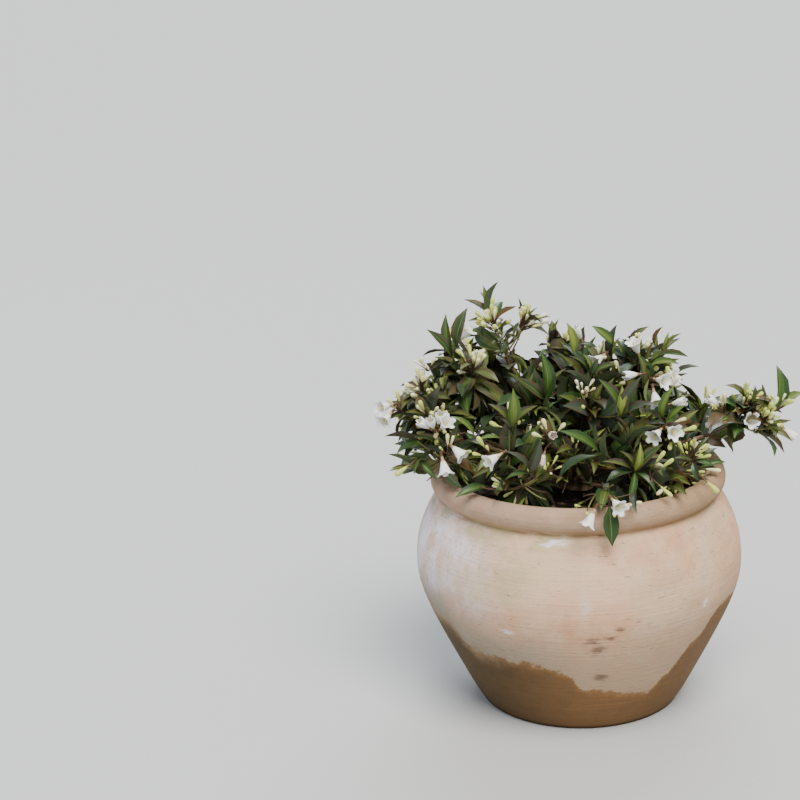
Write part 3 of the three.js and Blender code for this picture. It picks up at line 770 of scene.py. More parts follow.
# The small leaves under buds and flowers, and the leaves in plain sight
BRACTS = leaf_tones("russet bronze dull bronze", "bronze russet dull bronze", "bronze olive dull bronze")
CLEAR_TINTS = {
    "bronze": leaf_tones("plum olive pale bronze", "plum green pale bronze", "bronze deep pale grey"),
    "slate": leaf_tones("slate deep dull grey", "plum slate dull grey"),
    "green": leaf_tones("deep green pale grey"),
    "fresh": leaf_tones("green moss pale grey"),
    "russet": leaf_tones("russet russet pale bronze"),
    "young": leaf_tones("moss lime pale lime"),
}

# A bud's foot, tube and club, high in the crown and low in it, and a flower's parts from stalk to stamens
HIGH_BUDS = [
    ("calyx", "blush", "bud_cream"),
    ("calyx", "twig_green", "bud_lime"),
    ("twig_red", "blush", "bud_cream"),
    ("calyx", "blush", "bud_white"),
]
LOW_BUDS = [
    ("calyx", "twig_green", "bud_lime"),
    ("calyx", "twig_green", "bud_lime"),
    ("twig_red", "twig_green", "bud_cream"),
]
FLOWER_TONES = ("calyx", "blush", "petal_shade", "petal", "stamen")
WITHERED_TONES = ("calyx", "blush", "petal_shade", "withered", "withered")


# Chance, curves and directions


def chance(*keys):
    """A number from 0 to 1 that is always the same for the same whole-number keys."""
    bits = 0xFFFFFFFF
    h = SEED
    for key in keys:
        h = ((h ^ (key + 0x9E3779B9)) & bits) * 0x85EBCA6B & bits
        h ^= h >> 13
    h = (h ^ (h >> 16)) * 0xC2B2AE35 & bits
    return (h ^ (h >> 16)) / 4294967296


def picked(choices, *keys):
    return choices[int(chance(*keys) * len(choices))]


@dataclass
class Bend:
    """A curve from one place to another, drawn towards a third."""

    start: Vector
    through: Vector
    end: Vector

    def point(self, along):
        back = 1 - along
        return back * back * self.start + 2 * back * along * self.through + along * along * self.end

    def tangent(self, along):
        pull = (self.through - self.start) * (1 - along) + (self.end - self.through) * along
        return pull.normalized()

    def frame(self, along):
        """Two directions across the curve and its own direction."""
        tangent = self.tangent(along)
        chord = self.end - self.start
        level = RIGHT if abs(chord.z) > 0.9 * chord.length else UP
        side = tangent.cross(level).normalized()
        return side, side.cross(tangent), tangent


def straight(start, end):
    return Bend(start, (start + end) / 2, end)


def outward(across, turn, lean):
    """A direction that leans out from the last of three, turned about it."""
    side, over, tangent = across
    return (side * math.cos(turn) + over * math.sin(turn)) * math.sin(lean) + tangent * math.cos(lean)


# Meshes


def new_piece(name, mesh, materials):
    mesh.name = name
    for material in materials:
        mesh.materials.append(material)
    piece = bpy.data.objects.new(name, mesh)
    bpy.context.scene.collection.objects.link(piece)
    return piece


def piece_of(name, bm, materials, smooth=True):
    """The bmesh as an object at the origin, its faces turned outwards."""
    bmesh.ops.recalc_face_normals(bm, faces=bm.faces)
    for face in bm.faces:
        face.smooth = smooth
    mesh = bpy.data.meshes.new(name)
    bm.to_mesh(mesh)
    bm.free()
    return new_piece(name, mesh, materials)


def spun(outline, sides):
    """A closed round shape about +Z from an outline of radii and heights."""
    bm = bmesh.new()
    points = [bm.verts.new((radius, 0, height)) for radius, height in outline]
    edges = [bm.edges.new(pair) for pair in zip(points, points[1:])]
    turning = {"cent": (0, 0, 0), "axis": UP, "angle": math.tau, "steps": sides, "use_merge": True}
    bmesh.ops.spin(bm, geom=points + edges, **turning)
    bmesh.ops.remove_doubles(bm, verts=bm.verts, dist=1e-6)
    return bm


def zone_of(measure, edges):
    """How many of the edges a measure has passed."""
    return sum(measure >= edge for edge in edges)


class Template:
    """A small shape that is copied many times. A face's zone says which of a copy's tones it takes. A chart
    isn't turned out, because its faces already point the right way."""

    def __init__(self, bm, turn_out=True):
        if turn_out:
            bmesh.ops.recalc_face_normals(bm, faces=bm.faces)
        bm.verts.index_update()
        self.points = np.array([vert.co[:] for vert in bm.verts])
        self.faces = [tuple(vert.index for vert in face.verts) for face in bm.faces]
        self.zones = [face.material_index for face in bm.faces]
        bm.free()


class Gathering:
    """Many small shapes that are joined into one mesh."""

    def __init__(self):
        self.points = []
        self.faces = []
        self.tones = []
        self.count = 0

    def add(self, template, points, tones):
        self.points.append(points)
        self.faces.extend(tuple(corner + self.count for corner in face) for face in template.faces)
        self.tones.extend(tones[zone] for zone in template.zones)
        self.count += len(points)

    def piece(self, name):
        mesh = bpy.data.meshes.new(name)
        mesh.from_pydata(np.concatenate(self.points).tolist(), [], self.faces, shade_flat=False)
        present = set(self.tones)
        used = [tone for tone in TONES if tone in present]
        mesh.polygons.foreach_set("material_index", [used.index(tone) for tone in self.tones])
        mesh.set_sharp_from_angle(angle=math.radians(70))
        return new_piece(name, mesh, [TONES[tone] for tone in used])


# Pot, soil and woody base


def pot_wall(swell=0.0):
    """The pot's outside from foot to neck, as radii and heights."""
    lower = interpolate_bezier(FOOT, FOOT_HANDLE, BELLY - BELLY_HANDLE, BELLY, WALL_STEPS)
    upper = interpolate_bezier(BELLY, BELLY + BELLY_HANDLE, NECK_HANDLE, NECK, WALL_STEPS)
    return [(point.x + swell, point.y) for point in lower + upper[1:]]


WALL_OUTLINE = np.array([tuple(point) for point in pot_wall()])


def pot_radius(height):
    return float(np.interp(height, WALL_OUTLINE[:, 1], WALL_OUTLINE[:, 0]))


def inner_wall():
    """The pot's inside from just over its floor to the neck."""
    return [point for point in pot_wall(-WALL) if point[1] > INSIDE_FROM]


def pot_outline():
    rim = [
        (RIM_MIDDLE.x + RIM_HALF.x * math.cos(angle), RIM_MIDDLE.y + RIM_HALF.y * math.sin(angle))
        for angle in np.linspace(RIM_FROM, RIM_TO, RIM_STEPS)
    ]
    underside = [(0, 0), (FOOT.x - FOOT_EDGE, 0), (FOOT.x - FOOT_BEVEL, FOOT_BEVEL), (FOOT.x, FOOT_EDGE)]
    outside = [point for point in pot_wall() if point[1] > FOOT_EDGE]
    floor = [(FOOT.x - WALL + INSIDE_FOOT, FLOOR), (0, FLOOR)]
    return underside + outside + rim + inner_wall()[::-1] + floor


def pot():
    """The turned pot, with its drain holes cut through the floor."""
    body = piece_of("pot_body", spun(pot_outline(), POT_SIDES), [terracotta()])
    drills = bmesh.new()
    for i in range(3):
        angle = math.pi / 2 + i * math.tau / 3
        place = Vector((math.cos(angle), math.sin(angle), 0)) * DRAIN_FROM_AXIS
        size = {"segments": 24, "radius1": DRAIN_RADIUS, "radius2": DRAIN_RADIUS, "depth": FLOOR * 3}
        bmesh.ops.create_cone(drills, cap_ends=True, matrix=Matrix.Translation(place), **size)
    drill = piece_of("drills", drills, [])
    cut = body.modifiers.new("drain_holes", "BOOLEAN")
    cut.operation = "DIFFERENCE"
    cut.object = drill
    evaluated = body.evaluated_get(bpy.context.evaluated_depsgraph_get())
    body.data = bpy.data.meshes.new_from_object(evaluated)
    body.modifiers.clear()
    bpy.data.objects.remove(drill)
    body.data.set_sharp_from_angle(angle=math.radians(50))
    return body


def soil():
    """The potting mix, with an uneven crumbly surface."""
    inner = [(radius - CLEARANCE, height) for radius, height in inner_wall()]
    edge = inner[-1][0]
    rise = NECK.y - SOIL_TOP
    top = []
    for i in range(1, SOIL_STEPS + 1):
        out = 1 - i / SOIL_STEPS
        top.append((edge * out, SOIL_TOP + rise * max(0, out - SOIL_FLAT / edge)))
    underside = [(0, FLOOR + CLEARANCE), (FOOT.x - WALL + SOIL_FOOT, FLOOR + CLEARANCE)]
    bm = spun(underside + inner + top, SOIL_SIDES)
    for vert in bm.verts:
        if vert.co.z > NECK.y - 0.001 and vert.co.xy.length < edge - 0.001:
            lumps = noise.fractal(vert.co * SOIL_LUMPS, 1.0, 2.0, 4)
            vert.co.z += SOIL_RELIEF * (lumps - 0.4)
    return piece_of("potting_mix_top", bm, [soil_mix()])


def soil_chips():
    """Bits of composted bark that lie on the mix."""
    bm = bmesh.new()
    inner = NECK.x - WALL - 0.008
    for i in range(CHIP_COUNT):
        away = BASE_FLARE + (inner - BASE_FLARE) * math.sqrt(chance(i, 1))
        turn = i * GOLDEN_ANGLE
        place = Vector((away * math.cos(turn), away * math.sin(turn), SOIL_TOP - 0.001))
        long = 0.002 + 0.005 * chance(i, 2) ** 2
        spin = Matrix.Rotation(chance(i, 3) * math.tau, 4, "Z") @ Matrix.Rotation(chance(i, 4) - 0.5, 4, "X")
        shape = Matrix.Diagonal((long, long * (0.35 + 0.4 * chance(i, 5)), long * 0.3, 1))
        pose = Matrix.Translation(place) @ spin @ shape
        bmesh.ops.create_icosphere(bm, subdivisions=1, radius=1, matrix=pose)
    return piece_of("bark_chips", bm, [TONES["bark"]], smooth=False)


def woody_base():
    """The short stem: a lobed root flare under a rounded top, with bark relief."""
    dome = BASE_HEIGHT - BASE_SHOULDER_AT
    shoulder = [
        (BASE_SHOULDER * math.cos(angle), BASE_SHOULDER_AT + dome * math.sin(angle))
        for angle in np.linspace(0, math.pi / 2, 14)[:-1]
    ]
    spread = BASE_FLARE - BASE_SHOULDER
    flare = [
        (BASE_FLARE - spread * math.sin(angle), BASE_SHOULDER_AT * (1 - math.cos(angle)))
        for angle in np.linspace(0.25, math.pi / 2, 7)[:-1]
    ]
    underside = [(0, 0), (BASE_FLARE * 0.5, 0), (BASE_FLARE, 0)]
    bm = spun(underside + flare + shoulder + [(0, BASE_HEIGHT)], BASE_SIDES)
    for vert in bm.verts:
        angle = math.atan2(vert.co.y, vert.co.x)
        fade = 1 - vert.co.z / BASE_HEIGHT
        lobes = 1 - LOBE_DEPTH * fade * (1 - math.cos(BASE_LOBES * angle))
        cracks = noise.noise(Vector((math.cos(angle) * 9, math.sin(angle) * 9, vert.co.z * 60)))
        share = lobes * (0.97 + 0.04 * cracks)
        vert.co = Vector((vert.co.x * share, vert.co.y * share, vert.co.z + SOIL_TOP + CLEARANCE))
    return piece_of("woody_base_bark", bm, [TONES["bark"]])


# Canes


def cane_directions(centre):
    """Canes leave the base evenly spread: directions closer than the least angle are pushed apart."""
    directions = [(mass.hub - centre).normalized() for mass in MASSES]
    for _ in range(CANE_ROUNDS):
        for a in directions:
            for b in directions:
                angle = 0 if a is b else a.angle(b)
                if a is b or angle >= CANE_APART:
                    continue
                push = (a - b).normalized() * ((CANE_APART - angle) / 2)
                a += push
                a.normalize()
                b -= push
                b.normalize()
            a.z = max(a.z, CANE_LOWEST)
            a.normalize()
    return directions


def cane_curves():
    centre = Vector((0, 0, SOIL_TOP + BASE_SHOULDER_AT))
    curves = []
    for mass, direction in zip(MASSES, cane_directions(centre)):
        foot = centre + direction * (BASE_FLARE * 0.5)
        through = foot + direction * ((mass.hub - foot).length * CANE_RISE)
        curves.append(Bend(foot, through, mass.hub))
    return curves


def rod(sides, rings):
    """A rod of unit radius and unit height, cut into rings."""
    bm = bmesh.new()
    size = {"segments": sides, "radius1": 1, "radius2": 1, "depth": 1}
    bmesh.ops.create_cone(bm, cap_ends=True, matrix=Matrix.Translation(UP / 2), **size)
    for i in range(1, rings):
        everything = bm.verts[:] + bm.edges[:] + bm.faces[:]
        bmesh.ops.bisect_plane(bm, geom=everything, plane_co=UP * (i / rings), plane_no=UP)
    return Template(bm)


def limb(template, curve, radii, relief=None):
    """A rod's points, laid along a curve and tapered; relief gives the swelling at a share of its length."""
    foot, tip = radii
    points = []
    for x, y, along in template.points:
        side, over, _ = curve.frame(along)
        radius = foot + (tip - foot) * along
        middle = curve.point(along)
        if relief:
            radius *= relief(middle + (side * x + over * y) * radius, along)
        points.append(middle + (side * x + over * y) * radius)
    return np.array([point[:] for point in points])


def cane_pieces(curves):
    """One bark-covered piece for each cane, with joints where its leaves were and fine cracks."""
    template = rod(12, 36)
    pieces = []
    for mass, curve in zip(MASSES, curves):
        length = (curve.end - curve.start).length

        def relief(point, along):
            from_joint = abs((along * length / CANE_JOINTS + 0.5) % 1 - 0.5) * CANE_JOINTS
            joint = JOINT_SWELL * math.exp(-((from_joint / JOINT_HALF) ** 2))
            return 1 + joint + CRACK_RELIEF * noise.noise(point * CRACKS)

        canes = Gathering()
        canes.add(template, limb(template, curve, CANE, relief), ["bark"])
        piece = canes.piece("bark_" + mass.name)
        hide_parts("cane_" + mass.name)
        pieces.append(piece)
    return pieces


# Leaf, bud and flower shapes


def leaf_template():
    """A leaf as a chart: x runs across it, y from root to tip, and z is -1 on the underside. It is closed,
    because the underside shares the margins."""
    across = [-1, -0.50, -0.04, 0.04, 0.50, 1]
    along = [0, 0.10, 0.26, 0.46, 0.68, 0.87, 1]
    bm = bmesh.new()
    bmesh.ops.create_grid(bm, x_segments=len(across) - 1, y_segments=len(along) - 1, size=0.5)
    for vert in bm.verts:
        column = round((vert.co.x + 0.5) * (len(across) - 1))
        row = round((vert.co.y + 0.5) * (len(along) - 1))
        vert.co = (across[column], along[row], 0)
    for face in bm.faces:
        from_rib = abs(face.calc_center_median().x)
        face.material_index = 2 - zone_of(from_rib, (0.05, 0.4))
    under = bmesh.ops.duplicate(bm, geom=bm.faces[:])["geom"]
    faces = [part for part in under if isinstance(part, bmesh.types.BMFace)]
    bmesh.ops.reverse_faces(bm, faces=faces)
    for face in faces:
        if face.material_index != 2:
            face.material_index = 3
    for vert in {vert for face in faces for vert in face.verts}:
        if abs(vert.co.x) < 1 and 0 < vert.co.y < 1:
            vert.co.z = -1
    bmesh.ops.remove_doubles(bm, verts=bm.verts, dist=1e-6)
    return Template(bm, turn_out=False)


def bud_template(girth):
    """A bud: a thin red-brown foot, a slim tube and a closed club."""
    outline = [
        (0, 0), (0.040, 0.02), (0.036, 0.30), (0.042, 0.42), (0.075, 0.58), (0.112, 0.75), (0.118, 0.87),
        (0.082, 0.97), (0, 1),
    ]
    bm = spun([(radius * girth, height) for radius, height in outline], 7)
    for face in bm.faces:
        face.material_index = zone_of(face.calc_center_median().z, (0.32, 0.45))
    return Template(bm)


def flower_template(opening):
    """A funnel flower with five rounded lobes, its calyx and stamens. Opening spreads the lobes."""
    mouth = [(0.18 + 0.03 * opening, 0.82), (0.17 + 0.09 * opening, 0.90), (0.14 + 0.17 * opening, 0.96)]
    edge = (0.08 + 0.29 * opening, 1.0 - 0.02 * opening)
    tube = [(0, 0), (0.045, 0.01), (0.042, 0.22), (0.042, 0.30), (0.075, 0.42), (0.125, 0.56), (0.170, 0.70)]
    throat = 0.80
    bm = spun([*tube, *mouth, edge], 25)
    for vert in bm.verts:
        out = (vert.co.z - throat) / (edge[1] - throat)
        if out > 0:
            between = ((1 - math.cos(5 * math.atan2(vert.co.y, vert.co.x))) / 2) ** 3
            vert.co.xy *= 1 - 0.40 * out * between
            vert.co.z -= 0.10 * out * between
    bmesh.ops.recalc_face_normals(bm, faces=bm.faces)
    bmesh.ops.solidify(bm, geom=bm.faces[:], thickness=0.014)
    for face in bm.faces:
        face.material_index = zone_of(face.calc_center_median().z, (0.25, 0.38, 0.50))
    for i in range(5):
        turn = Matrix.Rotation(i * math.tau / 5 + 0.3, 4, "Z")
        lean = turn @ Matrix.Translation((0.052, 0, 0.32)) @ Matrix.Rotation(0.35, 4, "Y")
        sepal = {"segments": 3, "radius1": 0.022, "radius2": 0.003, "depth": 0.24}
        bmesh.ops.create_cone(bm, cap_ends=True, matrix=lean, **sepal)
        upright = turn @ Matrix.Translation((0.05, 0, 0.74)) @ Matrix.Rotation(0.12, 4, "Y")
        thread = {"segments": 4, "radius1": 0.010, "radius2": 0.020, "depth": 0.36}
        made = bmesh.ops.create_cone(bm, cap_ends=True, matrix=upright, **thread)
        for face in {face for vert in made["verts"] for face in vert.link_faces}:
            face.material_index = 4
    return Template(bm)


def stood(template, root, direction, size, turn):
    """A template's points, stood on a root along a direction."""
    pose = direction.to_track_quat("Z", "Y").to_matrix() @ Matrix.Rotation(turn, 3, "Z")
    return template.points @ (np.array(pose).T * size) + np.array(root)


LEAF_OUTLINE = np.array([
    (0, 0.09), (0.05, 0.13), (0.10, 0.36), (0.18, 0.66), (0.27, 0.88), (0.38, 0.985), (0.46, 1.0),
    (0.56, 0.96), (0.68, 0.80), (0.78, 0.56), (0.87, 0.30), (0.94, 0.11), (1, 0.01),
])


@dataclass
class Leaf:
    """A leaf on its twig. Bend is how far its tip turns down, fold how far its halves rise."""

    root: Vector
    direction: Vector
    facing: Vector
    length: float
    width: float
    bend: float
    fold: float
    twist: float
    tones: tuple

    def points(self, chart):
        ahead = self.direction.normalized()
        side = ahead.cross(self.facing).normalized()
        above = side.cross(ahead)
        ahead, side, above, root = (np.array(axis) for axis in (ahead, side, above, self.root))
        across, along, under = chart.points.T
        half = self.width / 2 * np.interp(along, *LEAF_OUTLINE.T)
        start = self.bend / 2
        angle = start - self.bend * along
        run = self.length * (math.sin(start) - np.sin(angle)) / self.bend
        rise = self.length * (np.cos(angle) - math.cos(start)) / self.bend
        lift = np.abs(across) * half * math.sin(self.fold) + under * LEAF_THICKNESS
        shift = across * half * math.cos(self.fold)
        roll = self.twist * along
        shift, lift = shift * np.cos(roll) - lift * np.sin(roll), shift * np.sin(roll) + lift * np.cos(roll)
        forward = run - lift * np.sin(angle)
        upward = rise + lift * np.cos(angle)
        return root + np.outer(forward, ahead) + np.outer(upward, above) + np.outer(shift, side)


# Growth


@dataclass
class Shoot:
    """A twig of a mass: its curve, its length, the turn of its first pair and what its tip carries."""

    key: int
    curve: Bend
    span: float
    turn: float
    carries: str


def stem_of(mass, cane):
    onward = cane.tangent(1)
    length = mass.reach * STEM_SHARE
    foot = mass.hub + onward * CLEARANCE
    end = mass.hub + (mass.heart - mass.hub).normalized() * length
    return Bend(foot, foot + onward * (length * STEM_PULL), end)


def shoots_of(mass, index, stem):
    """The source's main shoots first, its leads among them, then finer ones within the same reach."""
    fan = straight(mass.hub, mass.heart).frame(0)
    shoots = []
    count = MAIN_SHOOTS + round((SHOOTS_PER_MASS - MAIN_SHOOTS) * mass.fan / WIDEST_FAN)
    for i in range(count):
        shortest, longest = MAIN_REACH if i < MAIN_SHOOTS else FINE_REACH
        far = mass.reach * (shortest + (longest - shortest) * chance(index, i, 2))
        far -= (SOURCE_LEAF if i < MAIN_SHOOTS else LEAF_LENGTH) / 2
        lean = math.radians(mass.fan) * math.sqrt((0.5 + i * GOLDEN_SHARE) % 1)
        tip = mass.hub + outward(fan, i * GOLDEN_ANGLE + index, lean) * far
        carries = "buds" if chance(index, i, 5) < mass.budding else "leaves"
        if i < len(mass.leads):
            tip, carries = mass.leads[i]
        start = stem.point(STEM_BARE + (1 - STEM_BARE) * chance(index, i, 1))
        span = (tip - start).length
        through = (start + tip) / 2 + UP * (mass.lift * span)
        shoots.append(Shoot(i, Bend(start, through, tip), span, chance(index, i, 3) * math.pi, carries))
    return shoots


def leaf_at(node, across, turn, lean, pair, mass, keys, length=LEAF_LENGTH):
    """One leaf of a pair; pairs are counted from the young end of the shoot. Older leaves are larger,
    broader and flatter, and they bend and hang more."""
    direction = outward(across, turn, lean)
    direction.z -= mass.hang * (0.12 + 0.18 * pair)
    grown = min(1, 0.58 + 0.24 * pair)
    broad = min(1, 0.66 + 0.2 * pair)
    bent = 12 + 9 * min(pair, OLDEST_PAIR)
    folded = max(8, 44 - 13 * pair)
    vigour = 0.86 + 0.26 * chance(*keys, 4)
    size = length * vigour * grown
    # Lower masses take darker tints, partly as painted shade
    tint = picked(LOW_TINTS if mass.hub.z < LOW_MASS_BELOW else SPRAY_TINTS, keys[0], keys[1], 6)
    choices = YOUNG if pair == 0 else FRESH if pair == 1 else GROWN[tint]
    return Leaf(
        root=node,
        direction=direction,
        facing=across[2] + UP * 0.8,
        length=size,
        width=size * LEAF_WIDTH * broad * (0.90 + 0.2 * chance(*keys, 7)),
        bend=math.radians(bent + 38 * chance(*keys, 8)),
        fold=math.radians(folded + 14 * chance(*keys, 9)),
        twist=math.radians(60) * (chance(*keys, 10) - 0.5),
        tones=picked(choices, *keys, 11),
    )


def leaves_of(mass, index, shoot):
    """The leaf pairs of a shoot, each a quarter turn from the next. Pairs stand closer together towards its
    tip, and the young ones lean out least. Where the tip carries something, bracts take the place of the two
    youngest pairs."""
    leaves = []
    youngest = 0 if shoot.carries == "leaves" else 2
    for step in range(MOST_PAIRS):
        pair = step + youngest
        back = 0.002 + 0.0044 * step + 0.0017 * step * step
        if back > shoot.span * 0.95:
            break
        along = 1 - back / shoot.span
        lean = math.radians(min(92, 14 + 25 * pair - 1.6 * pair * pair + 6 * youngest))
        length = LEAF_LENGTH * (0.68 + 0.09 * step if youngest else 1)
        for half in range(2):
            keys = (index, shoot.key, pair, half)
            astray = 0.16 * (chance(*keys, 12) - 0.5)
            turn = shoot.turn + (0.25 + pair * 0.5 + half + astray) * math.pi
            node = shoot.curve.point(along)
            leaf = leaf_at(node, shoot.curve.frame(along), turn, lean, pair, mass, keys, length)
            if youngest and step < 2:
                leaf.tones = picked(BRACTS, *keys, 25)
            leaves.append(leaf)
    return leaves


def cane_leaves(mass, index, cane):
    """Older leaves on the upper part of a cane."""
    leaves = []
    for pair in range(CANE_PAIRS):
        along = CANE_PAIRS_FROM - CANE_PAIR_STEP * pair
        for half in range(2):
            turn = (pair * 0.5 + half + chance(index, pair, 13)) * math.pi
            keys = (index, CANE_KEYS + pair, pair, half)
            node, across = cane.point(along), cane.frame(along)
            leaves.append(leaf_at(node, across, turn, CANE_LEAF_LEAN, OLDEST_PAIR, mass, keys))
    return leaves


def clear_leaf(i):
    """A leaf in plain sight, from its root to its tip."""
    _, root, tip, tint = CLEAR_LEAVES[i]
    size = (tip - root).length
    return Leaf(
        root=root,
        direction=tip - root,
        facing=Vector((1.2 * (chance(i, 18) - 0.5), -0.6, 0.8 + 0.8 * chance(i, 19))),
        length=size,
        width=size * (0.29 + 0.08 * chance(i, 20)),
        bend=math.radians(40 + 40 * chance(i, 21)),
        fold=math.radians(22 + 18 * chance(i, 22)),
        twist=math.radians(50) * (chance(i, 23) - 0.5),
        tones=picked(CLEAR_TINTS[tint], i, 24),
    )


def hanging_leaf(shoot):
    """The one leaf that hangs from a lead's tip."""
    tangent = shoot.curve.tangent(1)
    size = LEAF_LENGTH * 0.86
    return Leaf(
        root=shoot.curve.end,
        direction=tangent * 0.45 - UP,
        facing=tangent,
        length=size,
        width=size * 0.42,
        bend=0.35,
        fold=0.2,
        twist=0.1,
        tones=GROWN["green"][3],
    )


# What a leaf or flower may not leave or touch


SPINES = [(mass.hub, mass.heart) for mass in MASSES]


def from_spine(spine, point):
    nearest, share = intersect_point_line(point, *spine)
    if share < 0:
        nearest = spine[0]
    elif share > 1:
        nearest = spine[1]
    return (nearest - point).length


def stays_home(point, index):
    own = from_spine(SPINES[index], point) - HOME_MARGIN
    return all(other == index or from_spine(spine, point) > own for other, spine in enumerate(SPINES))


def from_axis(points):
    return np.hypot(points[:, 0], points[:, 1])


def clears_pot(points):
    radius = from_axis(points)
    height = points[:, 2]
    across = (radius - RIM_MIDDLE.x) / (RIM_HALF.x + POT_MARGIN)
    up = (height - RIM_MIDDLE.y) / (RIM_HALF.y + POT_MARGIN)
    wall = np.interp(height, WALL_OUTLINE[:, 1], WALL_OUTLINE[:, 0]) + POT_MARGIN
    in_soil = (height < SOIL_TOP + POT_MARGIN) & (radius < wall)
    return not (((across**2 + up**2) < 1) | in_soil).any()


def inside_box(points):
    low, high = (np.array(corner) for corner in cad_box)
    return (points.min(0) > low - BOX_MARGIN).all() and (points.max(0) < high + BOX_MARGIN).all()


def fits(points):
    return clears_pot(points) and inside_box(points)


def hides_rim(points):
    """Whether points hang down over the outside of the rim at the front and sides."""
    over = from_axis(points) > RIM_MIDDLE.x - RIM_INNER
    low = points[:, 2] < RIM_MIDDLE.y + RIM_ABOVE
    return (over & low & (points[:, 1] < RIM_BACK)).any()


def blossom_places():
    """Where the bud heads and flowers stand, which leaves keep away from."""
    heads = [tip + UP * HEAD_MIDDLE for mass in MASSES for tip, carries in mass.leads if carries == "buds"]
    blooms = [
        root + facing.normalized() * FLOWER_MIDDLE
        for mass in MASSES
        for root, facing, form in mass.blooms
        if form not in ("bud", "club")
    ]
    return np.array([place[:] for place in heads + blooms])


def kept_clear():
    """Lines of sight that leaves keep off: their directions, half their widths and where they end."""
    rows = [(at(*place), half / 1000, SIGHT_WITHOUT_END) for place, half in OPEN_PLACES]
    for _, root, tip, _ in CLEAR_LEAVES:
        for along in SIGHT_STOPS:
            place = root.lerp(tip, along)
            rows.append((place, LEAF_SIGHT, (place - CAMERA_PLACE).length + SIGHT_BEHIND))
    places, halves, ends = zip(*rows)
    directions = [(place - CAMERA_PLACE).normalized()[:] for place in places]
    return np.array(directions), np.array(halves), np.array(ends)


BLOSSOM_PLACES = blossom_places()
SIGHT, SIGHT_HALF, SIGHT_END = kept_clear()


def in_the_way(points):
    away = points - np.array(CAMERA_PLACE)
    depth = away @ SIGHT.T
    aside = np.sqrt(np.maximum((away**2).sum(1)[:, None] - depth**2, 0))
    return ((aside < SIGHT_HALF) & (depth < SIGHT_END)).any()


def leaves_room(points, room):
    """Whether a leaf keeps out of the blossom and of the lines of sight that stay clear."""
    near = np.linalg.norm(BLOSSOM_PLACES[:, None, :] - points[None, :, :], axis=2).min()
    return near > room and not in_the_way(points)


# Foliage


def nearest_on(shoots, place):
    """The point of the shoots, well along them, that is nearest to a place."""
    candidates = [shoot.curve.point(along) for shoot in shoots for along in np.linspace(0.3, 1, 8).tolist()]
    return min(candidates, key=lambda point: (point - place).length)


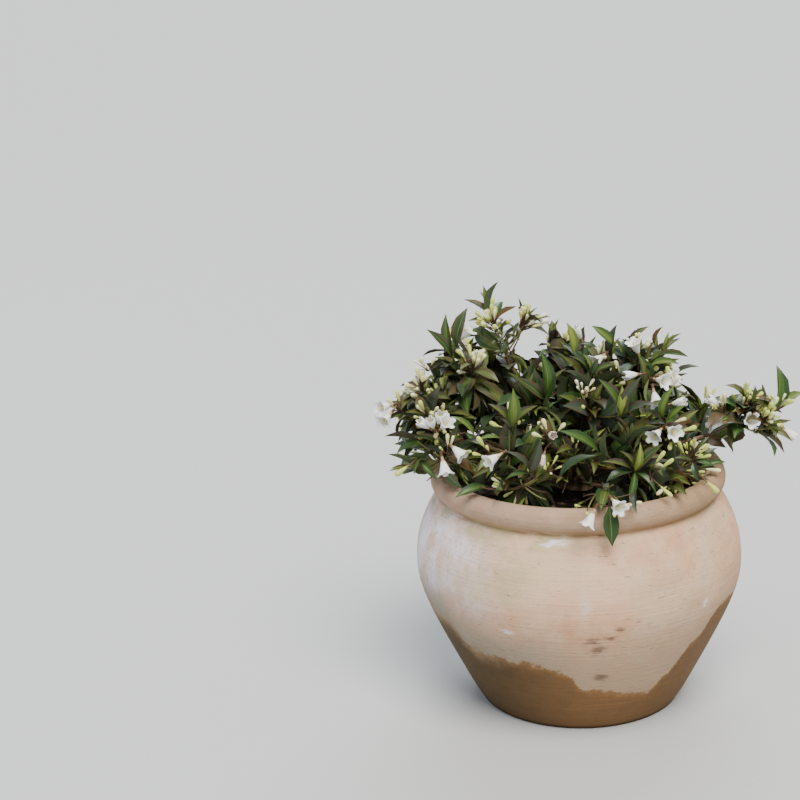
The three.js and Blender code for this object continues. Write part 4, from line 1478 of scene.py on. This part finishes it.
class Foliage:
    """Everything that grows on the canes: leaves by mass, and twigs, buds and flowers of the whole shrub."""

    def __init__(self):
        self.chart = leaf_template()
        self.bud_forms = {"bud": bud_template(SLIM_GIRTH), "club": bud_template(1.0)}
        self.flower_forms = {"open": flower_template(1.0), "half": flower_template(0.35)}
        self.twig_rod = rod(sides=5, rings=5)
        self.stalk_rod = rod(sides=4, rings=2)
        self.stem_rod = rod(sides=7, rings=6)
        self.leaves = {mass.name: Gathering() for mass in MASSES}
        self.twigs = Gathering()
        self.buds = Gathering()
        self.flowers = Gathering()

    def grow_leaf(self, mass, index, leaf, spills=False, room=BLOSSOM_ROOM):
        points = leaf.points(self.chart)
        tip = points[np.argmax(self.chart.points[:, 1])]
        if hides_rim(points) and not spills:
            return
        if fits(points) and stays_home(Vector(tip), index) and leaves_room(points, room):
            self.leaves[mass.name].add(self.chart, points, leaf.tones)

    def grow_stalk(self, start, end):
        self.twigs.add(self.stalk_rod, limb(self.stalk_rod, straight(start, end), STALK), ["twig_red"])

    def grow_bud(self, form, node, direction, stalk, size, keys):
        root = node + direction * stalk
        points = stood(self.bud_forms[form], root, direction, size, keys[-1])
        if fits(points):
            self.grow_stalk(node, root)
            choices = LOW_BUDS if node.z < LOW_BUDS_BELOW else HIGH_BUDS
            self.buds.add(self.bud_forms[form], points, picked(choices, *keys, 16))

    def grow_head_bud(self, node, across, turn, keys, length=BUD_LENGTH):
        """One bud of a head, which leans out by its number, the last key."""
        lean = math.radians(HEAD_LEAN + HEAD_SPREAD * ((keys[-1] * GOLDEN_SHARE + 0.2) % 1))
        direction = (outward(across, turn + keys[-1] * GOLDEN_ANGLE, lean) + UP * 0.3).normalized()
        stalk = HEAD_STALK + 2 * HEAD_STALK * chance(*keys, 14)
        form = "bud" if node.z < SLIM_BUDS_BELOW else "club"
        self.grow_bud(form, node, direction, stalk, length * (0.55 + 0.43 * chance(*keys, 15)), keys)

    def grow_head(self, shoot, index, count):
        """A head of buds that radiates from the tip of a shoot."""
        for i in range(count):
            along = max(0.2, 1 - 0.0009 * (i + 1) / shoot.span)
            keys = (index, shoot.key, i)
            self.grow_head_bud(shoot.curve.point(along), shoot.curve.frame(along), shoot.turn, keys)

    def grow_flower(self, root, direction, form, tones, turn, size=FLOWER_LENGTH):
        points = stood(self.flower_forms[form], root, direction, size, turn)
        if fits(points):
            self.flowers.add(self.flower_forms[form], points, tones)

    def grow_flowers(self, shoot, index):
        """Two flowers that lean out from the tip of a shoot. The first buds of its head are added again, in
        the same places."""
        for i, form in enumerate(("open", "half")):
            across = shoot.curve.frame(1)
            direction = outward(across, shoot.turn + (0.25 + i) * math.pi, FLOWER_LEAN) - UP * 0.25
            self.grow_flower(shoot.curve.end, direction, form, FLOWER_TONES, index + i)
        self.grow_head(shoot, index, REPEATED_BUDS)

    def grow_shoot(self, mass, index, shoot):
        """What a shoot bears: its leaves, and what its tip carries."""
        for leaf in leaves_of(mass, index, shoot):
            self.grow_leaf(mass, index, leaf, room=HEAD_ROOM if shoot.carries == "buds" else BLOSSOM_ROOM)
        if shoot.carries == "leaf":
            self.grow_leaf(mass, index, hanging_leaf(shoot), spills=True)
        if shoot.carries == "buds":
            self.grow_head(shoot, index, HEAD_BUDS if shoot.curve.end.z > SLIM_BUDS_BELOW else SLIM_HEAD_BUDS)
        if shoot.carries == "flowers":
            self.grow_head(shoot, index, FLOWER_BUDS)
            if not mass.blooms:
                self.grow_flowers(shoot, index)

    def grow_clear_leaves(self, mass, shoots):
        """The mass's leaves in plain sight, each on a stalk from the nearest shoot."""
        for i, (name, root, _, _) in enumerate(CLEAR_LEAVES):
            if name == mass.name:
                leaf = clear_leaf(i)
                points = leaf.points(self.chart)
                self.grow_stalk(nearest_on(shoots, root), root)
                if fits(points):
                    self.leaves[name].add(self.chart, points, leaf.tones)

    def grow_blooms(self, mass, index, shoots):
        """The mass's flowers and buds at known places, each on a stalk from the nearest shoot."""
        for i, (root, facing, form) in enumerate(mass.blooms):
            self.grow_stalk(nearest_on(shoots, root), root)
            keys = (index, BLOOM_KEYS + i)
            if form == "buds":
                across = straight(root, root + facing).frame(0)
                for bud in range(SIDE_BUDS):
                    self.grow_head_bud(root, across, i, (*keys, bud), BUD_LENGTH * 0.8)
            elif form in self.bud_forms:
                self.grow_bud(form, root, facing.normalized(), 0.002, BUD_LENGTH * 1.1, keys)
            elif form == "withered":
                self.grow_flower(root, facing, "half", WITHERED_TONES, i, FLOWER_LENGTH * 0.85)
            else:
                self.grow_flower(root, facing, form, FLOWER_TONES, i)

    def grow_mass(self, mass, index, cane):
        stem = stem_of(mass, cane)
        self.twigs.add(self.stem_rod, limb(self.stem_rod, stem, STEM), ["twig_red"])
        shoots = []
        for shoot in shoots_of(mass, index, stem):
            points = limb(self.twig_rod, shoot.curve, TWIG)
            if fits(points) and stays_home(shoot.curve.end, index):
                tone = picked(["twig_red", "twig_green"], index, shoot.key, 17)
                self.twigs.add(self.twig_rod, points, [tone])
                shoots.append(shoot)
        for shoot in shoots:
            self.grow_shoot(mass, index, shoot)
        for leaf in cane_leaves(mass, index, cane):
            self.grow_leaf(mass, index, leaf)
        self.grow_clear_leaves(mass, shoots)
        self.grow_blooms(mass, index, shoots)


def foliage(canes):
    growth = Foliage()
    for index, (mass, cane) in enumerate(zip(MASSES, canes)):
        growth.grow_mass(mass, index, cane)
    pieces = []
    for name, leaves in growth.leaves.items():
        piece = leaves.piece("leaves_" + name)
        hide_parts("foliage_" + name)
        pieces.append(piece)
    for name, gathering in (("twigs", growth.twigs), ("buds", growth.buds), ("flowers", growth.flowers)):
        piece = gathering.piece(name)
        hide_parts(*("foliage_" + mass.name for mass in MASSES))
        pieces.append(piece)
    return pieces


# Stage, light and camera


def stage():
    bm = bmesh.new()
    bmesh.ops.create_grid(bm, x_segments=1, y_segments=1, size=30)
    paper = Finish("floor_paper", {"Base Color": (0.50, 0.50, 0.49, 1), "Roughness": 0.9})
    floor = piece_of("floor", bm, [paper.material], smooth=False)


def hung(data, place, power, colour):
    """A light at a place, aimed at the middle of the plant."""
    data.energy = power
    data.color = colour
    light = bpy.data.objects.new(data.name, data)
    light.location = place
    light.rotation_euler = (UP * 0.3 - Vector(place)).to_track_quat("-Z", "Y").to_euler()
    bpy.context.scene.collection.objects.link(light)


def sunlight(name, place, spread, power, colour):
    data = bpy.data.lights.new(name, "SUN")
    data.angle = math.radians(spread)
    hung(data, place, power, colour)


def side_lamp(name, place, size, power, colour):
    data = bpy.data.lights.new(name, "AREA")
    data.shape = "DISK"
    data.size = size
    hung(data, place, power, colour)


def lights():
    sunlight("key", (1.1, -2.6, 5.0), 36, 5.0, (1.0, 0.97, 0.92))
    sunlight("back", (0.3, 3.4, 3.3), 45, 2.6, (0.86, 0.93, 1.0))
    side_lamp("fill", (-3.2, -0.4, 1.8), 3.0, 28, (0.80, 0.88, 1.0))
    world = bpy.data.worlds.new("soft_sky")
    world.use_nodes = True
    sky = world.node_tree.nodes["Background"].inputs
    sky["Color"].default_value = (0.84, 0.91, 1.0, 1)
    sky["Strength"].default_value = 0.55
    bpy.context.scene.world = world


def camera():
    data = bpy.data.cameras.new("camera")
    data.lens = data.sensor_width * LENS_PIXELS / PICTURE_WIDTH
    eye = bpy.data.objects.new("camera", data)
    looking = (CAMERA_AIM - CAMERA_PLACE).to_track_quat("-Z", "Y").to_matrix()
    rolled = looking @ Matrix.Rotation(CAMERA_ROLL, 3, "Z")
    eye.matrix_world = Matrix.Translation(CAMERA_PLACE) @ rolled.to_4x4()
    bpy.context.scene.collection.objects.link(eye)
    bpy.context.scene.camera = eye


# Assembly

camera()
stage()
lights()

pot_body = pot()
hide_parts("pot")
ground = [soil(), soil_chips()]
for layer in ground:
    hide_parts("potting_soil")

canes = cane_curves()
stump = woody_base()
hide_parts("woody_base")
wood = [stump] + cane_pieces(canes)
greenery = foliage(canes)

for part in [pot_body] + ground + wood + greenery:
    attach(part, "root")
